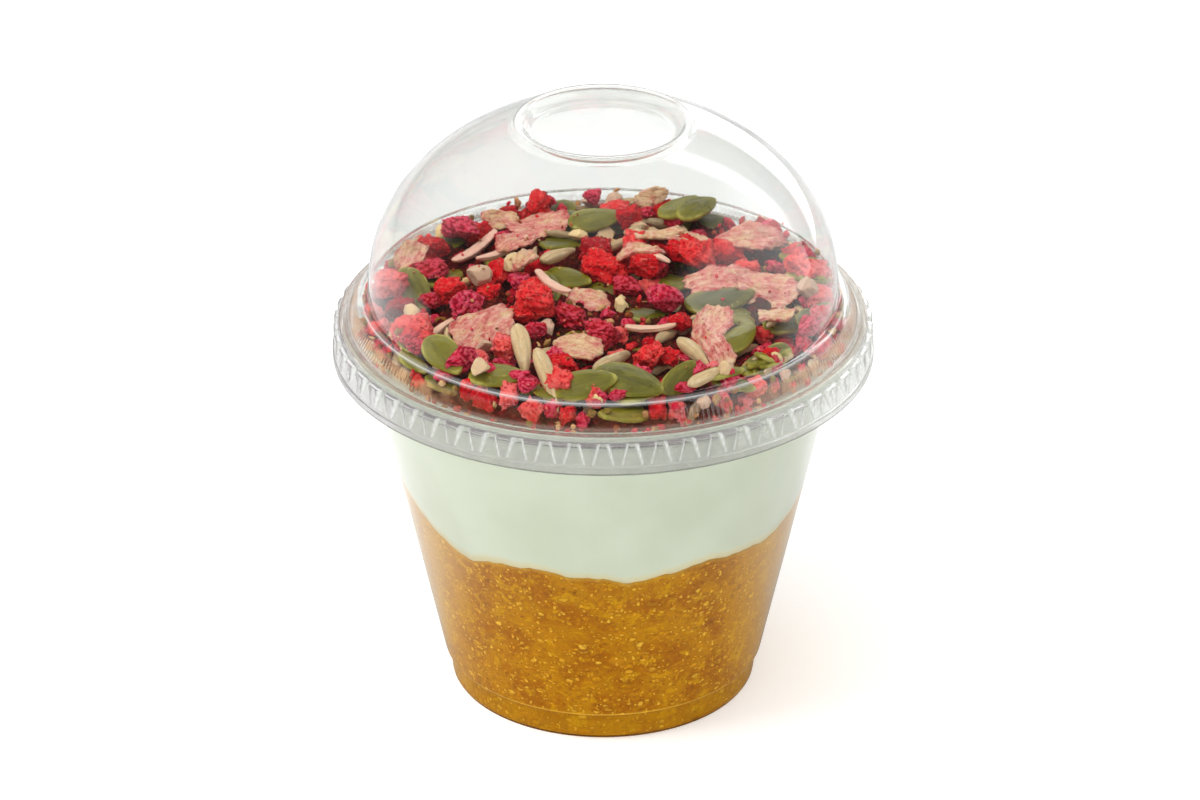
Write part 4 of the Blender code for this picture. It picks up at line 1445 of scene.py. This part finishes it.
def strawberryLook(look, tone, stand):
    fine = look.noise(look.grain(0.4), 4.0, 0.65)
    cloud = look.noise(look.grain(2.0), 2.0)
    pores = look.cells(look.warp(look.grain(0.8), 0.6))
    stops = zip((0.0, 0.2, 0.42, 0.64, 0.95), ("blush", "salmon", "coral", "red", "dark"))
    colour = look.paint(
        look.ramp(tone + (cloud - 0.5) * 0.6, *((place, fruit[name]) for place, name in stops)),
        # painted shade in the pores and in the low places between them
        (pores.fade(0.15, 0.5) * 0.6, fruit["red"]),
        (stand.fade(0.05, 0.5) * 0.7, fruit["red"]),
        ((fine * 0.7 + stand * 0.5).ease(0.6, 0.9) * 0.5, fruit["pale"]),
    )
    bumps = fine * 0.5 + pores.ease(0.1, 0.5) * 0.6
    return look.food(colour, 0.7, bumps, 0.6, shine=0.1, soft=softCube)


def flakeLook(look, tone, rim):
    cloud = look.noise(look.grain(2.6), 3.0, 0.65)
    fine = look.noise(look.grain(0.45), 3.0, 0.65)
    fibre = look.noise(look.grain(0.7, (0.3, 1.0, 1.0)), 4.0, 0.7)
    skin = (rim + (cloud - 0.5) * 1.3 + (fine - 0.5) * 0.5).ease(0.75, 1.15)
    dust = (look.noise(look.grain(0.9), 4.0, 0.75) + (cloud - 0.5) * 0.3).ease(0.5, 0.62)
    speck = look.cells(look.warp(look.grain(0.7), 0.7, 2.0)).fade(0.14, 0.26)
    colour = look.paint(
        look.blend((tone + (cloud - 0.5) * 2.6).ease(0.1, 1.0), flesh["cream"], flesh["rose"]),
        (fibre.fade(0.36, 0.5) * 0.5, flesh["vein"]),
        (skin * (0.35 + tone * 0.5), flesh["skin"]),
        (dust * (0.3 + tone * 0.5), flesh["dust"]),
        (speck * (0.4 + tone * 0.4), flesh["speck"]),
        ((fibre + fine * 0.4).ease(0.66, 0.84) * 0.55, flesh["pale"]),
    )
    return look.food(colour, 0.55, fine * 0.7 + cloud + fibre * 1.2, 0.4, shine=0.3, soft=softFlake)


def byTone(look, tone, cloud, palette):
    return look.blend((tone + (cloud - 0.5) * 0.8).ease(0.0, 1.0), palette["dark"], palette["light"])


def pumpkinLook(look, tone, rim):
    streak = look.noise(look.grain(0.7, (0.16, 1.0, 1.0)), 3.0, 0.6)
    cloud = look.noise(look.grain(3.0), 3.0, 0.6)
    fine = look.noise(look.grain(0.5, (0.4, 1.0, 1.0)), 3.0)
    toRim = rim + (cloud - 0.5) * 0.5
    flaw = look.noise(look.grain(1.6), 4.0, 0.7).ease(0.62, 0.7)
    colour = look.paint(
        byTone(look, tone, cloud, green),
        (streak.ease(0.5, 0.8) * 0.35, green["sheen"]),
        (streak.fade(0.3, 0.5) * 0.4, green["streak"]),
        (toRim.ease(0.5, 1.0) * 0.35, green["rim"]),
        # painted shade in the groove near the edge
        (rim.ease(0.72, 0.8) * rim.fade(0.82, 0.88) * 0.2, green["groove"]),
        (toRim.ease(0.92, 1.04) * 0.7, green["edge"]),
        (flaw * 0.6, green["flaw"]),
    )
    return look.food(colour, 0.2 + cloud * 0.22, fine + streak, 0.06, shine=0.9)


def kernelLook(look, tone, stand):
    streak = look.noise(look.grain(0.8, (0.25, 1.0, 1.0)), 3.0, 0.6)
    cloud = look.noise(look.grain(2.4), 3.0, 0.6)
    dust = look.noise(look.grain(1.2), 4.0, 0.7).ease(0.6, 0.72)
    colour = look.paint(
        byTone(look, tone, cloud, shelled),
        (streak.ease(0.5, 0.7) * 0.5, shelled["pale"]),
        # painted shade in the grooves between the ridges
        (stand.fade(0.05, 0.6) * 0.2, shelled["ridge"]),
        (look.cells(look.grain(0.6)).fade(0.1, 0.22) * 0.6, shelled["speck"]),
        (dust * 0.35, shelled["dust"]),
    )
    return look.food(colour, 0.55, look.noise(look.grain(0.4), 3.0) + streak, 0.14, shine=0.3)


def nibLook(look, tone, stand):
    cloud = look.noise(look.grain(1.8), 3.0, 0.6)
    fine = look.noise(look.grain(0.35), 3.0, 0.65)
    dust = look.noise(look.grain(0.7), 4.0, 0.7).ease(0.58, 0.72)
    colour = look.paint(
        byTone(look, tone, cloud, nut),
        (fine.ease(0.56, 0.7) * 0.5, nut["pale"]),
        (dust * 0.4, nut["dust"]),
    )
    return look.food(colour, 0.58, fine, 0.14, shine=0.3, soft=softNut)


def sliverLook(look, tone, stand):
    streak = look.noise(look.grain(0.5, (0.2, 1.0, 1.0)), 3.0, 0.6)
    dust = look.noise(look.grain(0.9), 4.0, 0.7).ease(0.56, 0.7)
    colour = look.paint(
        look.blend(tone, nut["sliverDark"], nut["sliverLight"]),
        (streak.ease(0.5, 0.7) * 0.6, nut["sliverPale"]),
        (dust * 0.5, nut["sliverDust"]),
    )
    return look.food(colour, 0.6, streak, 0.12)


def crumbLook(look, tone, stand):
    fine = look.noise(look.grain(0.3), 3.0)
    tones = (fruit["coral"], fruit["crimson"], fruit["magenta"], *loose.values())
    colour = look.ramp(tone, *zip((0.0, 0.22, 0.4, 0.52, 0.66, 0.8, 1.0), tones))
    colour = look.blend(fine.ease(0.55, 0.7) * 0.4, colour, fruit["pale"])
    return look.food(colour, 0.7, fine, 0.15, shine=0.2)


# Each kind's maker, finish and material
kinds = {
    "raspberry": (raspberry, raspberryLook, "raspberry"),
    "strawberry": (strawberry, strawberryLook, "strawberry"),
    "pumpkinSeed": (pumpkinSeed, pumpkinLook, "pumpkin seed"),
    "kernel": (kernel, kernelLook, "sunflower kernel"),
    "flake": (flake, flakeLook, "fruit flake"),
    "nib": (nib, nibLook, "nut nib"),
    "sliver": (sliver, sliverLook, "nut sliver"),
    "crumb": (crumb, crumbLook, "crumbs"),
}


def coreLook():
    look = Look("packed crumbs")
    cell = look.cells(look.place(1.3))
    fine = look.noise(look.place(0.5), 4.0, 0.65)
    stops = zip((0.0, 0.35, 0.55, 0.75, 0.9, 1.0), packed.values())
    colour = look.paint(
        # tones kept dark as painted shade under the pieces
        look.ramp(cell.other("Color").part("X"), *stops),
        # painted shade in the gaps between the packed crumbs
        (cell.ease(0.25, 0.55) * 0.7, packed["gap"]),
        (fine.ease(0.58, 0.72) * 0.25, packed["dust"]),
    )
    return look.food(colour, 0.8, cell.fade(0.1, 0.6) + fine * 0.4, 0.5, shine=0.1)


def makeCore():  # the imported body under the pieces
    sides, bottom, reach = 240, heap["coreBottom"], heap["edgeReach"] - 0.3
    rows = [tip(bottom), ringRow(reach - 0.4, bottom, sides), ringRow(reach, bottom + 0.7, sides)]
    shares = np.linspace(1.0, 0.02, heap["coreRows"])
    draw = np.random.default_rng(5)
    flat = np.concatenate([ringRow(reach * share, 0.0, sides) for share in shares])
    bump = coreBumps(flat) + 0.45 * waves(flat, draw, 2.6)
    bump += 0.22 * waves(flat, draw, 1.2)
    level = coreHeight(np.repeat(shares, sides) * reach, bump)
    edge = np.repeat(np.clip((1 - shares) / 0.03, 0, 1), sides)
    level = np.maximum(level * edge + (bottom + 1.9) * (1 - edge), bottom + 1.0)
    rows += [ringRow(reach * share, row, sides) for share, row in zip(shares, level.reshape(-1, sides))]
    points, faces = joinRows(rows + [tip(float(level[-1]))])
    makePiece("toppingCore", points, faces, coreLook(), "topping")


def makeTopping():
    for kind, kept in heapUp().items():
        look = Look(kinds[kind][2])
        material = kinds[kind][1](look, look.field("tone"), look.field("stand"))
        fields = {name: np.concatenate(kept[name]) for name in fieldNames}
        makePiece(kind, np.concatenate(kept["points"]), kept["faces"], material, "topping", fields)


makeCamera()
makeStudio()
print("studio ready")
makeChia()
makeYogurt()
makeCore()
makeTopping()
makeCup()
makeLid()
